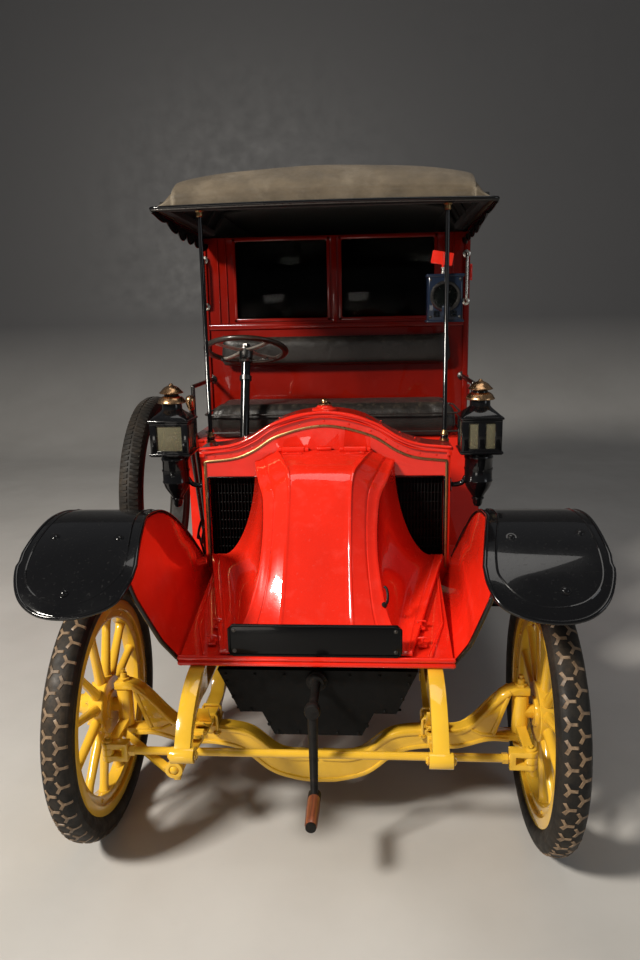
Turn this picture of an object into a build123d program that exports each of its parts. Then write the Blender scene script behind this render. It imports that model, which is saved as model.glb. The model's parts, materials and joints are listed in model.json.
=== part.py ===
from build123d import *
from math import cos, pi, radians, sin
import os

os.makedirs("parts", exist_ok=True)

# A vintage taxi: scuttle bonnet, open driver's place, closed cab, leather hood.
# Millimetres, +Z up, ground at zero.  The car faces -Y and its left side is +X.
# The origin is on the ground, in the middle of the car's length and width.

# ---------------------------------------------------------------- driving sizes
wheelbase = 2600
front_overhang = 420
rear_overhang = 600
wheel_track = 1380
tyre_radius = 405
tyre_width = 90
rim_radius = 320
spoke_count = 12
spindle_radius = 22
kingpin_x = 622
kingpin_radius = 11
kingpin_gap = 5
running_gap = 0.05
seat_gap = 0.3
moving_gap = 6

rail_x = 350
rail_width = 44
rail_height = 80
rail_top = 600
rail_sheet = 6
floor_thickness = 40
board_top = 490
board_thickness = 20
body_half_width = 618
wall = 28
fender_reach = 167
fender_width = 285
fender_sheet = 5
edge_roll = 12

scuttle_front = 480
scuttle_depth = 160
scuttle_half_width = 447
scuttle_wall = 18
bulkhead_front = 1411
bulkhead_thickness = 30
door_width = 600
door_height = 1290
cab_back = 2960
belt_z = 1330
roof_front = 566
hood_front = 2100

bonnet_sheet = 6
bonnet_edge_rear = 424
bonnet_edge_nose = 284
apron_half_width = 403
apron_sheet = 6
apron_front = -120
crank_z = 530
crank_throw = 274
crank_radius = 13
steering_radius = 175
steering_rake = 20
link_rear_y = 640
arm_pivot_z = 560
arm_x = 392
arm_pin_radius = 12
plate_width = 510
plate_height = 100

# ---------------------------------------------------------------- derived places
fender_half_width = body_half_width + fender_reach
fender_inner = fender_half_width - fender_width
overall_length = front_overhang + wheelbase + rear_overhang
front_axle_y = -overall_length / 2 + front_overhang
rear_axle_y = front_axle_y + wheelbase
wheel_x = wheel_track / 2
hub_z = tyre_radius
rail_bottom = rail_top - rail_height
cross_top = rail_top - 10
cross_bottom = rail_top - 40
floor_top = rail_top + seat_gap + floor_thickness
sill_z = floor_top + seat_gap
door_front = bulkhead_front + bulkhead_thickness + wall
door_rear = door_front + door_width
wall_x = body_half_width - wall


def behind(distance):
    """The place along the car of a point this far behind the front axle."""
    return front_axle_y + distance


def across(distance):
    """A plane square to the car's length, this far behind the front axle."""
    return Plane.XZ.offset(-behind(distance))


def lengthwise(x):
    """A plane along the car at one place across it: its own X runs rearward."""
    return Plane(origin=(x, 0, 0), x_dir=(0, 1, 0), z_dir=(1, 0, 0))


def save(name, piece):
    piece.label = name
    export_step(piece, f"parts/{name}.step")


def slab(x_from, x_to, y_from, y_to, z_from, z_to, mode=Mode.ADD):
    """A plain block given by its limits; y counts from the front axle."""
    middle = ((x_from + x_to) / 2, behind((y_from + y_to) / 2), (z_from + z_to) / 2)
    with Locations(middle):
        Box(x_to - x_from, y_to - y_from, z_to - z_from, mode=mode)


def place(point):
    """A point whose y counts from the front axle, in the car's own frame."""
    return (point[0], behind(point[1]), point[2])


def rod(start, end, radius, end_radius=None, mode=Mode.ADD):
    """A round bar from one point to another; y counts from the front axle."""
    first, last = Vector(*place(start)), Vector(*place(end))
    run = last - first
    with BuildSketch(Plane(origin=first, z_dir=run)) as near:
        Circle(radius)
    if end_radius is None:
        extrude(near.sketch, amount=run.length, mode=mode)
        return
    with BuildSketch(Plane(origin=last, z_dir=run)) as far:
        Circle(end_radius)
    loft([near.sketch.face(), far.sketch.face()], mode=mode)


def flat_bar(start, end, width, height):
    """A flat bar from one point to another, its width across the car."""
    first, last = Vector(*place(start)), Vector(*place(end))
    run = last - first
    with BuildSketch(Plane(origin=first, x_dir=(1, 0, 0), z_dir=run)) as section:
        Rectangle(width, height)
    extrude(section.sketch, amount=run.length)


def mirrored():
    """The other side's copy of what has been built so far."""
    mirror(about=Plane.YZ)


# ---------------------------------------------------------------- chassis
iron_end = (rail_x, -335, 442)
spring_eye_radius = 22
rear_spring_x = 450
rear_spring_reach = 380

with BuildPart() as chassis_frame:
    # pressed side rail and its curved front iron
    slab(rail_x - rail_width / 2, rail_x + rail_width / 2, -130, 3000, rail_bottom, rail_top)
    slab(rail_x - rail_width / 2, rail_x + rail_width / 2 - rail_sheet, -100, 3001,
         rail_bottom + rail_sheet, rail_top - rail_sheet, Mode.SUBTRACT)
    with BuildSketch(lengthwise(rail_x - rail_width / 2)):
        with BuildLine():
            Spline((behind(-130), rail_top), (behind(-250), 560), (behind(-345), 452))
            Line((behind(-345), 452), (behind(-318), 440))
            Spline((behind(-318), 440), (behind(-235), 515), (behind(-130), rail_bottom))
            Line((behind(-130), rail_bottom), (behind(-130), rail_top))
        make_face()
    extrude(amount=rail_width)
    rod((rail_x - 32, iron_end[1], iron_end[2]), (rail_x + 32, iron_end[1], iron_end[2]),
        spring_eye_radius)
    # brackets that carry the running board
    for station in (800, 1400, 1960):
        slab(rail_x, fender_half_width - 30, station - 20, station + 20,
             board_top - board_thickness - seat_gap - 14, board_top - board_thickness - seat_gap)
        slab(rail_x - rail_width / 2, rail_x + rail_width / 2, station - 20, station + 20,
             board_top - board_thickness - seat_gap - 14, rail_bottom)
    # arms out to the rear springs
    for station in (wheelbase - rear_spring_reach, wheelbase + rear_spring_reach):
        slab(rail_x, rear_spring_x + 22, station - 20, station + 20, rail_bottom, rail_bottom + 30)
    mirrored()
    # pin for the steering gear's drop arm
    rod((-rail_x, link_rear_y, arm_pivot_z), (-arm_x - 16, link_rear_y, arm_pivot_z),
        arm_pin_radius)
    for station in (130, 410, 1000, 1700, 2300, 2980):
        slab(-rail_x - rail_width / 2 + rail_sheet, rail_x + rail_width / 2 - rail_sheet,
             station - 20, station + 20, cross_bottom, cross_top)

spring_width = 44
leaf_thickness = 8
front_spring_z = 384
rear_spring_z = 487
with BuildPart() as leaf_springs:
    # front pair: from the iron's eye, over the axle, to the rear hanger
    for leaf in range(4):
        reach = 1 - 0.22 * leaf
        drop = leaf * leaf_thickness
        with BuildSketch(lengthwise(rail_x - spring_width / 2)):
            with BuildLine():
                start = (behind(-310 * reach), 436 - drop + 14 * leaf)
                middle = (behind(30), front_spring_z - drop)
                finish = (behind(30 + 400 * reach), 452 - drop + 14 * leaf)
                ThreePointArc(start, middle, finish)
                Line(finish, (finish[0], finish[1] - leaf_thickness))
                ThreePointArc((finish[0], finish[1] - leaf_thickness), (middle[0], middle[1] - leaf_thickness),
                              (start[0], start[1] - leaf_thickness))
                Line((start[0], start[1] - leaf_thickness), start)
            make_face()
        extrude(amount=spring_width)
    rod((rail_x - 15, 440, 448), (rail_x + 15, 440, 448), 14)
    slab(rail_x - 12, rail_x + 12, 430, 450, 448, rail_bottom - seat_gap)
    # rear pair: outside the rails, on top of the axle
    for leaf in range(5):
        reach = 1 - 0.18 * leaf
        with BuildSketch(lengthwise(rear_spring_x - spring_width / 2)):
            with BuildLine():
                lift = rail_bottom - seat_gap - leaf * 5
                start = (behind(wheelbase - rear_spring_reach * reach), lift)
                middle = (behind(wheelbase), rear_spring_z - leaf_thickness * leaf)
                finish = (behind(wheelbase + rear_spring_reach * reach), lift)
                ThreePointArc(start, middle, finish)
                Line(finish, (finish[0], finish[1] - leaf_thickness))
                ThreePointArc((finish[0], finish[1] - leaf_thickness), (middle[0], middle[1] - leaf_thickness),
                              (start[0], start[1] - leaf_thickness))
                Line((start[0], start[1] - leaf_thickness), start)
            make_face()
        extrude(amount=spring_width)
    mirrored()

save("chassis_frame", chassis_frame.part)
save("leaf_springs", leaf_springs.part)

# ---------------------------------------------------------------- axles
fork_top = 490
fork_bottom = 312
fork_arm = 22
beam_depth = 50

with BuildPart() as front_axle:
    with BuildSketch(across(0).offset(-beam_depth / 2)):
        with BuildLine():
            Spline((0, 250), (122, 256), (228, 331), (350, 347), (451, 356), (546, 450),
                   (600, fork_top), tangents=((1, 0), (1, 0.35)))
            Polyline((600, fork_top), (kingpin_x + 24, fork_top),
                     (kingpin_x + 24, fork_top - fork_arm),
                     (590, fork_top - fork_arm), (545, fork_bottom + fork_arm),
                     (kingpin_x + 24, fork_bottom + fork_arm), (kingpin_x + 24, fork_bottom),
                     (590, fork_bottom))
            Spline((590, fork_bottom), (520, 312), (428, 286), (328, 284), (243, 262), (152, 191),
                   (65, 163), (0, 158), tangents=((-1, 0), (-1, 0)))
            Line((0, 158), (0, 250))
        make_face()
    extrude(amount=beam_depth)
    chamfer(front_axle.edges().filter_by(Plane.XZ).filter_by(lambda edge: edge.length > 300), 6)
    # spring seat on top of the beam
    slab(rail_x - 32, rail_x + 32, -32, 60, 330, front_spring_z - 4 * leaf_thickness - seat_gap)
    with Locations((kingpin_x, behind(0), fork_bottom - 12)):
        Cylinder(kingpin_radius, fork_top - fork_bottom + 36,
                 align=(Align.CENTER, Align.CENTER, Align.MIN))
    mirrored()

casing_end = 540
with BuildPart() as rear_axle:
    rod((-casing_end, wheelbase, hub_z), (casing_end, wheelbase, hub_z), 38)
    rod((-wheel_x - 60, wheelbase, hub_z), (wheel_x + 60, wheelbase, hub_z), spindle_radius)
    with Locations(place((0, wheelbase, hub_z))):
        Sphere(135)
    rod((0, 1250, 450), (0, wheelbase, hub_z), 38, 60)
    for side in (-1, 1):
        slab(side * rear_spring_x - 34, side * rear_spring_x + 34, wheelbase - 40, wheelbase + 40,
             hub_z, rear_spring_z - 5 * leaf_thickness - seat_gap)

save("front_axle", front_axle.part)
save("rear_axle", rear_axle.part)

# ---------------------------------------------------------------- engine and underside
with BuildPart() as engine:
    slab(-120, 120, 110, 430, cross_top + seat_gap, 880)
    rod((0, 430, cross_top + 110), (0, 465, cross_top + 110), 90)
    # gearbox, hung from its own cross member
    slab(-110, 110, 960, 1240, 380, cross_bottom - seat_gap)

pan_front = -60
pan_rear = 430
pan_top = cross_bottom - seat_gap
with BuildPart() as undertray:
    with BuildSketch(across(pan_front)):
        Polygon((-305, pan_top), (305, pan_top), (240, 420), (172, 420), (135, 345),
                (-135, 345), (-172, 420), (-240, 420), align=None)
    extrude(amount=pan_front - pan_rear)
    with BuildSketch(across(pan_front + 6)):
        Polygon((-292, pan_top + 5), (292, pan_top + 5), (234, 426), (166, 426), (131, 351), (-131, 351),
                (-166, 426), (-234, 426), align=None)
    extrude(amount=pan_front - pan_rear + 12, mode=Mode.SUBTRACT)
    rod((0, pan_front - 10, crank_z), (0, pan_front + 20, crank_z), crank_radius + running_gap,
        mode=Mode.SUBTRACT)

with BuildPart() as silencer:
    rod((215, 1500, 430), (215, 2150, 430), 62)
    rod((215, 500, 500), (215, 1500, 430), 20)
    rod((215, 2150, 430), (215, 2300, 430), 18)
    slab(205, 225, 1690, 1710, 480, cross_bottom - seat_gap)

for name, piece in (("engine", engine), ("undertray", undertray), ("silencer", silencer)):
    save(name, piece.part)

# ---------------------------------------------------------------- wheels
tyre_seat = rim_radius + seat_gap
tyre_profile = [
    (-28, tyre_seat), (28, tyre_seat), (28, 333), (39, 338), (45, 352), (45, 366), (40, 384),
    (30, 398), (14, tyre_radius), (-14, tyre_radius), (-30, 398), (-40, 384), (-45, 366),
    (-45, 352), (-39, 338), (-28, 333),
]
rim_profile = [
    (-34, 302), (34, 302), (34, 331), (29, 331), (29, rim_radius), (-29, rim_radius),
    (-29, 331), (-34, 331),
]
felloe_profile = [(-22, 272), (22, 272), (22, 304), (-22, 304)]


def wheel_plane(side, axle_distance, x):
    """Through one wheel's axis: local X runs outboard, local Y away from the hub."""
    return Plane(origin=(side * x, behind(axle_distance), hub_z), x_dir=(side, 0, 0),
                 z_dir=(0, -side, 0))


def make_tyre(name, side, axle_distance, x, middle_z):
    plane = Plane(origin=(side * x, behind(axle_distance), middle_z), x_dir=(side, 0, 0),
                  z_dir=(0, -side, 0))
    with BuildPart() as tyre:
        with BuildSketch(plane):
            Polygon(*tyre_profile, align=None)
        revolve(axis=Axis(plane.origin, (1, 0, 0)))
    save(name, tyre.part)


def make_wheel(name, side, axle_distance, drum_inner):
    plane = wheel_plane(side, axle_distance, wheel_x)
    hub_profile = [(-30, 0), (-30, 46), (-24, 46), (-24, 92), (24, 92), (24, 50), (62, 40),
                   (66, 32), (86, 28), (86, 0)]
    with BuildPart() as wheel:
        with BuildSketch(plane):
            Polygon(*hub_profile, align=None)
            Polygon(*rim_profile, align=None)
            Polygon(*felloe_profile, align=None)
            if drum_inner:
                drum = drum_inner - wheel_x
                Polygon((drum, 60), (-24, 60), (-24, 140), (drum, 140), align=None)
        revolve(axis=Axis(plane.origin, (1, 0, 0)))
        # tapered wooden spokes
        for spoke in range(spoke_count):
            turn = 2 * pi * (spoke + 0.5) / spoke_count
            outward = Vector(0, cos(turn), sin(turn))
            root = Plane(origin=plane.origin + outward * 80, x_dir=(1, 0, 0), z_dir=outward)
            tip = Plane(origin=plane.origin + outward * 280, x_dir=(1, 0, 0), z_dir=outward)
            with BuildSketch(root):
                Ellipse(19, 23)
            with BuildSketch(tip):
                Ellipse(16, 12)
            loft()
        with BuildSketch(Plane(origin=plane.origin + Vector(side * -60, 0, 0),
                               z_dir=(side, 0, 0))):
            Circle(spindle_radius + running_gap)
        extrude(amount=122, mode=Mode.SUBTRACT)
    save(name, wheel.part)


for name, side, axle_distance, drum_inner in (
        ("front_right", -1, 0, None), ("front_left", 1, 0, None),
        ("rear_right", -1, wheelbase, casing_end + 25),
        ("rear_left", 1, wheelbase, casing_end + 25)):
    make_wheel("wheel_" + name, side, axle_distance, drum_inner)
    make_tyre("tyre_" + name, side, axle_distance, wheel_x, hub_z)

spare_x = fender_half_width - tyre_width / 2
spare_y = 905
make_tyre("spare_tyre", -1, spare_y, spare_x, board_top + seat_gap + tyre_radius)

# ---------------------------------------------------------------- steering
barrel_radius = 25
barrel_bottom = fork_bottom + fork_arm + kingpin_gap
barrel_top = fork_top - fork_arm - kingpin_gap
tie_y = -172
tie_z = 350
pin_radius = 8
ball_x = 420
ball_y = -190
ball_z = 303
link_z = 262
ball_radius = 15


def make_knuckle(name, side, has_link_arm):
    with BuildPart() as knuckle:
        with Locations((side * kingpin_x, behind(0), barrel_bottom)):
            Cylinder(barrel_radius, barrel_top - barrel_bottom,
                     align=(Align.CENTER, Align.CENTER, Align.MIN))
        rod((side * kingpin_x, 0, hub_z), (side * (wheel_x + 58), 0, hub_z), spindle_radius)
        # arm forward to the tie rod's eye
        flat_bar((side * kingpin_x, -12, tie_z + 6), (side * kingpin_x, tie_y, tie_z), 30, 20)
        with Locations(place((side * kingpin_x, tie_y, tie_z))):
            Cylinder(19, 20)
        if has_link_arm:
            flat_bar((side * kingpin_x, -60, tie_z - 4), (side * (ball_x + 20), ball_y, ball_z),
                     22, 16)
            with BuildSketch(across(ball_y - 9)):
                with Locations((side * ball_x, ball_z)):
                    Circle(26)
                    Circle(ball_radius + running_gap, mode=Mode.SUBTRACT)
            extrude(amount=-18)
        with Locations((side * kingpin_x, behind(0), hub_z)):
            Cylinder(kingpin_radius + running_gap, 300, mode=Mode.SUBTRACT)
        with Locations(place((side * kingpin_x, tie_y, tie_z))):
            Cylinder(pin_radius + running_gap, 60, mode=Mode.SUBTRACT)
    save(name, knuckle.part)


make_knuckle("knuckle_right", -1, True)
make_knuckle("knuckle_left", 1, False)

fork_gap = 11.5
with BuildPart() as tie_rod:
    rod((-kingpin_x + 60, tie_y, tie_z), (kingpin_x - 60, tie_y, tie_z), 12)
    for side in (-1, 1):
        near, far = sorted((side * kingpin_x, side * (kingpin_x - 62)))
        slab(near, far, tie_y - 17, tie_y + 17, tie_z - 28, tie_z + 28)
        with Locations(place((side * kingpin_x, tie_y, tie_z))):
            Cylinder(19, 56)
        slab(side * kingpin_x - 45, side * kingpin_x + 45, tie_y - 40, tie_y + 40,
             tie_z - fork_gap, tie_z + fork_gap, mode=Mode.SUBTRACT)
        with Locations(place((side * kingpin_x, tie_y, tie_z))):
            Cylinder(pin_radius, 72)
save("tie_rod", tie_rod.part)

with BuildPart() as drag_link:
    with Locations(place((-ball_x, ball_y, ball_z))):
        Sphere(ball_radius)
    rod((-ball_x, ball_y, ball_z), (-ball_x, ball_y + 30, ball_z), 8)
    slab(-ball_x - 10, -ball_x + 10, ball_y + 22, ball_y + 44, link_z - 11, ball_z + 9)
    rod((-ball_x, ball_y + 30, link_z), (-ball_x, link_rear_y, link_z), 11)

with BuildPart() as drop_arm:
    flat_bar((-arm_x, link_rear_y, arm_pivot_z), (-arm_x, link_rear_y, link_z), 16, 30)
    rod((-arm_x + 12, link_rear_y, arm_pivot_z), (-arm_x - 12, link_rear_y, arm_pivot_z), 26)
    rod((-arm_x + 8, link_rear_y, link_z), (-arm_x - 8, link_rear_y, link_z), 20)
    rod((-arm_x + 20, link_rear_y, arm_pivot_z), (-arm_x - 20, link_rear_y, arm_pivot_z),
        arm_pin_radius + running_gap, mode=Mode.SUBTRACT)

save("drag_link", drag_link.part)
save("drop_arm", drop_arm.part)

# ---------------------------------------------------------------- steering column and wheel
wheel_centre = (-352, 985, 1480)
column_radius = 19
shaft_radius = 10
hub_drop = 38
lean = radians(steering_rake)
column_axis = Vector(0, sin(lean), cos(lean))


def down_column(distance):
    """A point this far down the column from the steering wheel's centre."""
    return (wheel_centre[0], wheel_centre[1] - distance * sin(lean),
            wheel_centre[2] - distance * cos(lean))


column_length = (wheel_centre[2] - rail_top - seat_gap - column_radius * sin(lean)) / cos(lean)
with BuildPart() as steering_column:
    rod(down_column(hub_drop + 2), down_column(column_length), column_radius)
    rod(down_column(-6), down_column(hub_drop + 4), shaft_radius)

with BuildPart() as steering_wheel:
    hub_plane = Plane(origin=place(wheel_centre), x_dir=(1, 0, 0), z_dir=column_axis)
    with BuildSketch(Plane(origin=hub_plane.origin, x_dir=(1, 0, 0),
                           z_dir=hub_plane.y_dir * -1)):
        with Locations((steering_radius - 12, 0)):
            Ellipse(14, 10)
    revolve(axis=Axis(hub_plane.origin, column_axis))
    for quarter in range(4):
        turn = pi / 4 + quarter * pi / 2
        outward = hub_plane.x_dir * cos(turn) + hub_plane.y_dir * sin(turn)
        with BuildSketch(Plane(origin=hub_plane.origin - column_axis * 4, z_dir=outward)) as spoke:
            Rectangle(18, 7)
        extrude(spoke.sketch, amount=steering_radius - 14)
    with BuildSketch(hub_plane.offset(-hub_drop)):
        Circle(27)
    extrude(amount=hub_drop + 8)
    rod(down_column(hub_drop + 1), down_column(-7), shaft_radius + running_gap,
        mode=Mode.SUBTRACT)

save("steering_column", steering_column.part)
save("steering_wheel", steering_wheel.part)

# ---------------------------------------------------------------- scuttle and radiator
scuttle_back = scuttle_front + scuttle_depth
bonnet_pin = (scuttle_front - 16, 1148)
pin_size = 5
barrel_size = 11
barrel_inner = 70
barrel_outer = 150
scuttle_shoulder = 1152
scuttle_peak = 1280
opening_half_width = 424
opening_bottom = 750
opening_top = 1046


rim_roll = 14
rim_proud = 10


def ogee_face(inset, bottom):
    """The scuttle's outline, drawn in by a wall, down to a level."""
    half = scuttle_half_width - inset
    drop = scuttle_shoulder - inset
    with BuildLine() as outline:
        Spline((-half, drop), (-335, 1164 - inset), (-262, 1191 - inset), (-165, 1246 - inset),
               (0, scuttle_peak - inset), (165, 1246 - inset), (262, 1191 - inset),
               (335, 1164 - inset), (half, drop))
        Polyline((half, drop), (half, bottom), (-half, bottom), (-half, drop))
    make_face(outline.edges())


with BuildPart() as scuttle:
    with BuildSketch(across(scuttle_front)):
        ogee_face(0, sill_z)
    extrude(amount=-scuttle_depth)
    with BuildSketch(across(scuttle_front + scuttle_wall)):
        ogee_face(scuttle_wall, sill_z)
    extrude(amount=-(scuttle_depth - 2 * scuttle_wall), mode=Mode.SUBTRACT)
    with BuildSketch(across(scuttle_front - rim_proud)):
        ogee_face(-4, scuttle_shoulder - 30)
        ogee_face(rim_roll, sill_z)
    extrude(amount=-rim_proud - 8)
    with BuildSketch(across(scuttle_front - rim_proud - 1)):
        ogee_face(rim_roll, sill_z - 1)
    extrude(amount=-rim_proud - 1, mode=Mode.SUBTRACT)
    slab(-opening_half_width, opening_half_width, scuttle_front - 1,
         scuttle_front + scuttle_wall + 1, opening_bottom, opening_top, Mode.SUBTRACT)
    # pins and lugs that carry the bonnet
    for side in (-1, 1):
        rod((side * (barrel_inner - 12), *bonnet_pin), (side * (barrel_outer + 12), *bonnet_pin),
            pin_size)
        for lug in (barrel_inner - 8, barrel_outer + 8):
            slab(side * lug - 5, side * lug + 5, bonnet_pin[0], scuttle_front + 1,
                 bonnet_pin[1] - pin_size, bonnet_pin[1] + pin_size)
    # way through the front panel for the engine's rear and the pipes
    slab(-240, 240, scuttle_front - 1, scuttle_front + scuttle_wall + 1, sill_z,
         opening_bottom + 1, Mode.SUBTRACT)

with BuildPart() as radiator:
    with BuildSketch(across(scuttle_front + scuttle_wall + 8)):
        with Locations((0, (opening_bottom + opening_top) / 2 - 10)):
            Rectangle(2 * (scuttle_half_width - scuttle_wall - seat_gap),
                      opening_top - opening_bottom + 60)
    extrude(amount=-(scuttle_depth - 2 * scuttle_wall - 26))
    # upright fins
    with BuildSketch(across(scuttle_front + scuttle_wall + 8)):
        with GridLocations(24, 1, 34, 1):
            with Locations((0, (opening_bottom + opening_top) / 2)):
                Rectangle(12, opening_top - opening_bottom)
    extrude(amount=-30, mode=Mode.SUBTRACT)

cap_seat = scuttle_peak + seat_gap
with BuildPart() as radiator_cap:
    with BuildSketch(across(scuttle_front + 60)):
        Polygon((0, cap_seat), (46, cap_seat), (46, cap_seat + 8),
                (28, cap_seat + 12), (28, cap_seat + 20), (12, cap_seat + 26),
                (14, cap_seat + 32), (8, cap_seat + 40), (0, cap_seat + 42),
                align=None)
    revolve(axis=Axis((0, behind(scuttle_front + 60), 0), (0, 0, 1)))

for name, piece in (("scuttle", scuttle), ("radiator", radiator),
                    ("radiator_cap", radiator_cap)):
    save(name, piece.part)

# ---------------------------------------------------------------- bonnet and apron
bonnet_rear = scuttle_front - 8
bonnet_nose = -104
apron_top = 634
ledge_rear = 757
ledge_front = 642


def ledge_z(station):
    """Height of the bonnet's side ledge, which falls towards the nose."""
    share = (station - apron_front) / (scuttle_front - apron_front)
    return ledge_front + share * (ledge_rear - ledge_front)


def edge_x(station):
    """Half width over the bonnet's flange, which narrows towards the nose."""
    share = (station - bonnet_nose) / (bonnet_rear - bonnet_nose)
    return bonnet_edge_nose + share * (bonnet_edge_rear - bonnet_edge_nose)


# station, top height, middle panel half width, shoulder half width and height,
# foot of the side wall
bonnet_stations = [
    (bonnet_rear, 1140, 168, 248, 1098, 372),
    (360, 1124, 134, 222, 1058, 346),
    (250, 1086, 104, 190, 1002, 318),
    (130, 940, 100, 184, 872, 292),
    (30, 782, 104, 206, 742, 272),
    (-40, 690, 110, 232, 676, 266),
    (bonnet_nose, 656, 114, 246, 652, 262),
]
bead_half = 7
bead_height = 4
skirt_steps = (0.3, 0.55, 0.78, 1)


def bonnet_section(station, top, middle, shoulder_x, shoulder_z, foot, inset):
    """Crowned top with two raised beads, sloping panels, and walls flaring to a flange."""
    edge_z = ledge_z(station)
    fall = (top - shoulder_z) / (shoulder_x - middle)
    half = [
        (0, top + 3 - inset), (middle - bead_half, top - inset),
        (middle, top + bead_height - inset),
        (middle + bead_half, top - bead_half * fall - inset),
        (shoulder_x - 2 * bead_half, shoulder_z + 2 * bead_half * fall - inset),
        (shoulder_x - inset, shoulder_z + bead_height - inset),
    ]
    for step in skirt_steps:
        half.append((shoulder_x + (foot - shoulder_x) * step ** 1.7 - inset,
                     edge_z + (shoulder_z - edge_z) * (1 - step) ** 1.5
                     + bead_height * (1 - step) - inset * step))
    flange = edge_x(station) - inset
    half += [(flange, edge_z - inset), (flange, edge_z - 12 - 4 * inset)]
    outline = half + [(-x, z) for x, z in reversed(half[1:])]
    with BuildSketch(across(station)) as section:
        Polygon(*outline, align=None)
    return section.sketch.face()


with BuildPart() as bonnet:
    loft([bonnet_section(*row, 0) for row in bonnet_stations])
    inner = [list(row) for row in bonnet_stations]
    inner[0][0] += 1
    inner[-1][0] += bonnet_sheet
    loft([bonnet_section(*row, bonnet_sheet) for row in inner], mode=Mode.SUBTRACT)
    for side in (-1, 1):
        ends = [(side * x, *bonnet_pin) for x in (barrel_inner, barrel_outer)]
        rod(*ends, barrel_size)
        rod(*ends, pin_size + running_gap, mode=Mode.SUBTRACT)

# the fenders' run, seen from the side, which the valances follow
fender_tip = -front_overhang
board_front = 690
valance_front = -292
valance_rear = scuttle_front
front_fender_run = [(fender_tip - 12, 868), (fender_tip, 878), (-310, 962), (-190, 1016),
                    (-40, 1040), (130, 1012), (300, 920), (440, 790), (560, 640), (640, 540),
                    (board_front, board_top - 3)]
# the valance's fold, seen from the front: a place in from the fender's edge, and a height
valance_fold = [(2, 1045), (-16, 860), (-57, 690)]
apron_rear = scuttle_front - seat_gap
tray_drop = 12 + moving_gap


def fender_line(width):
    """The front fender's sheet, seen from the side, made to a thickness."""
    with BuildSketch(lengthwise(0)) as profile:
        with BuildLine() as run:
            Spline(*[(behind(y), z) for y, z in front_fender_run])
        trace(run.line, line_width=width)
    return profile.sketch


with BuildPart() as apron:
    # front board with its two rolled lips
    slab(-apron_half_width, apron_half_width, apron_front, apron_front + apron_sheet,
         rail_top + 4, apron_top - 8)
    for height in (apron_top - 24, apron_top - 8):
        rod((-apron_half_width, apron_front, height), (apron_half_width, apron_front, height), 8)
    # sloping trays beside the bonnet
    with BuildSketch(lengthwise(0)) as slope:
        front, rear = ledge_z(apron_front) - tray_drop, ledge_z(apron_rear) - tray_drop
        Polygon((behind(apron_front), front - apron_sheet), (behind(apron_rear), rear - apron_sheet),
                (behind(apron_rear), rear), (behind(apron_front), front), align=None)
    tray = extrude(slope.sketch, amount=apron_half_width, mode=Mode.PRIVATE)
    with BuildSketch() as plan:
        Polygon((bonnet_edge_nose - 24, behind(apron_front)),
                (apron_half_width, behind(apron_front)), (apron_half_width, behind(apron_rear)),
                (bonnet_edge_rear - 60, behind(apron_rear)), align=None)
    add(tray & extrude(plan.sketch, amount=1000, mode=Mode.PRIVATE))
    # side boards down to the frame
    with BuildSketch(lengthwise(apron_half_width)) as board:
        Polygon((behind(apron_front), rail_top + seat_gap), (behind(apron_rear), rail_top + seat_gap),
                (behind(apron_rear), rear), (behind(apron_front), front), align=None)
    extrude(board.sketch, amount=-apron_sheet)
    # foot that rests on the rail
    slab(rail_x - 10, apron_half_width, 60, 400, rail_top + seat_gap, rail_top + 5)
    # valance up to the fender
    with BuildSketch(lengthwise(0)) as side_view:
        with BuildLine():
            Spline(*[(behind(y), z) for y, z in front_fender_run])
            Polyline((behind(board_front), board_top - 3), (behind(board_front), 0),
                     (behind(fender_tip - 12), 0), (behind(fender_tip - 12), 868))
        make_face()
        with BuildLine():
            Spline((behind(valance_front), 968), (behind(-190), 760),
                   (behind(apron_front + 14), rail_top + 6))
            Polyline((behind(apron_front + 14), rail_top + 6),
                     (behind(valance_rear), rail_top + 6), (behind(valance_rear), 1200),
                     (behind(valance_front), 1200), (behind(valance_front), 968))
        make_face(mode=Mode.INTERSECT)
    curtain = extrude(side_view.sketch, amount=fender_half_width, mode=Mode.PRIVATE)
    with BuildSketch(across(0)) as end_view:
        with BuildLine() as fold_line:
            Polyline(*[(fender_inner + x, z) for x, z in valance_fold],
                     (apron_half_width - 2, rail_top))
        trace(fold_line.line, line_width=fender_sheet)
    fold = extrude(end_view.sketch, amount=1000, both=True, mode=Mode.PRIVATE)
    under = extrude(fender_line(fender_sheet + 2 * seat_gap), amount=fender_half_width,
                    mode=Mode.PRIVATE)
    add((curtain & fold) - under)
    mirrored()

with BuildPart() as number_plate:
    with BuildSketch(across(apron_front + 2)):
        with Locations((0, apron_top + seat_gap + plate_height / 2)):
            plate = Rectangle(plate_width, plate_height)
        chamfer(plate.vertices().group_by(Axis.Z)[-1], 14)
    extrude(amount=6)

with BuildPart() as crank:
    rod((0, pan_front + 14, crank_z), (0, -252, crank_z), crank_radius)
    rod((0, -240, crank_z), (0, -240, crank_z - crank_throw), 15, 11)
    rod((0, -226, crank_z - crank_throw), (0, -375, crank_z - crank_throw), 15)
for name, piece in (("bonnet", bonnet), ("apron", apron), ("number_plate", number_plate),
                    ("crank", crank)):
    save(name, piece.part)

# ---------------------------------------------------------------- floor, seats and cab
floor_front = scuttle_front + scuttle_depth + seat_gap
seat_front = 960
seat_rear = bulkhead_front - seat_gap
driver_seat_z = 1108
driver_cushion = 142

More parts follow.
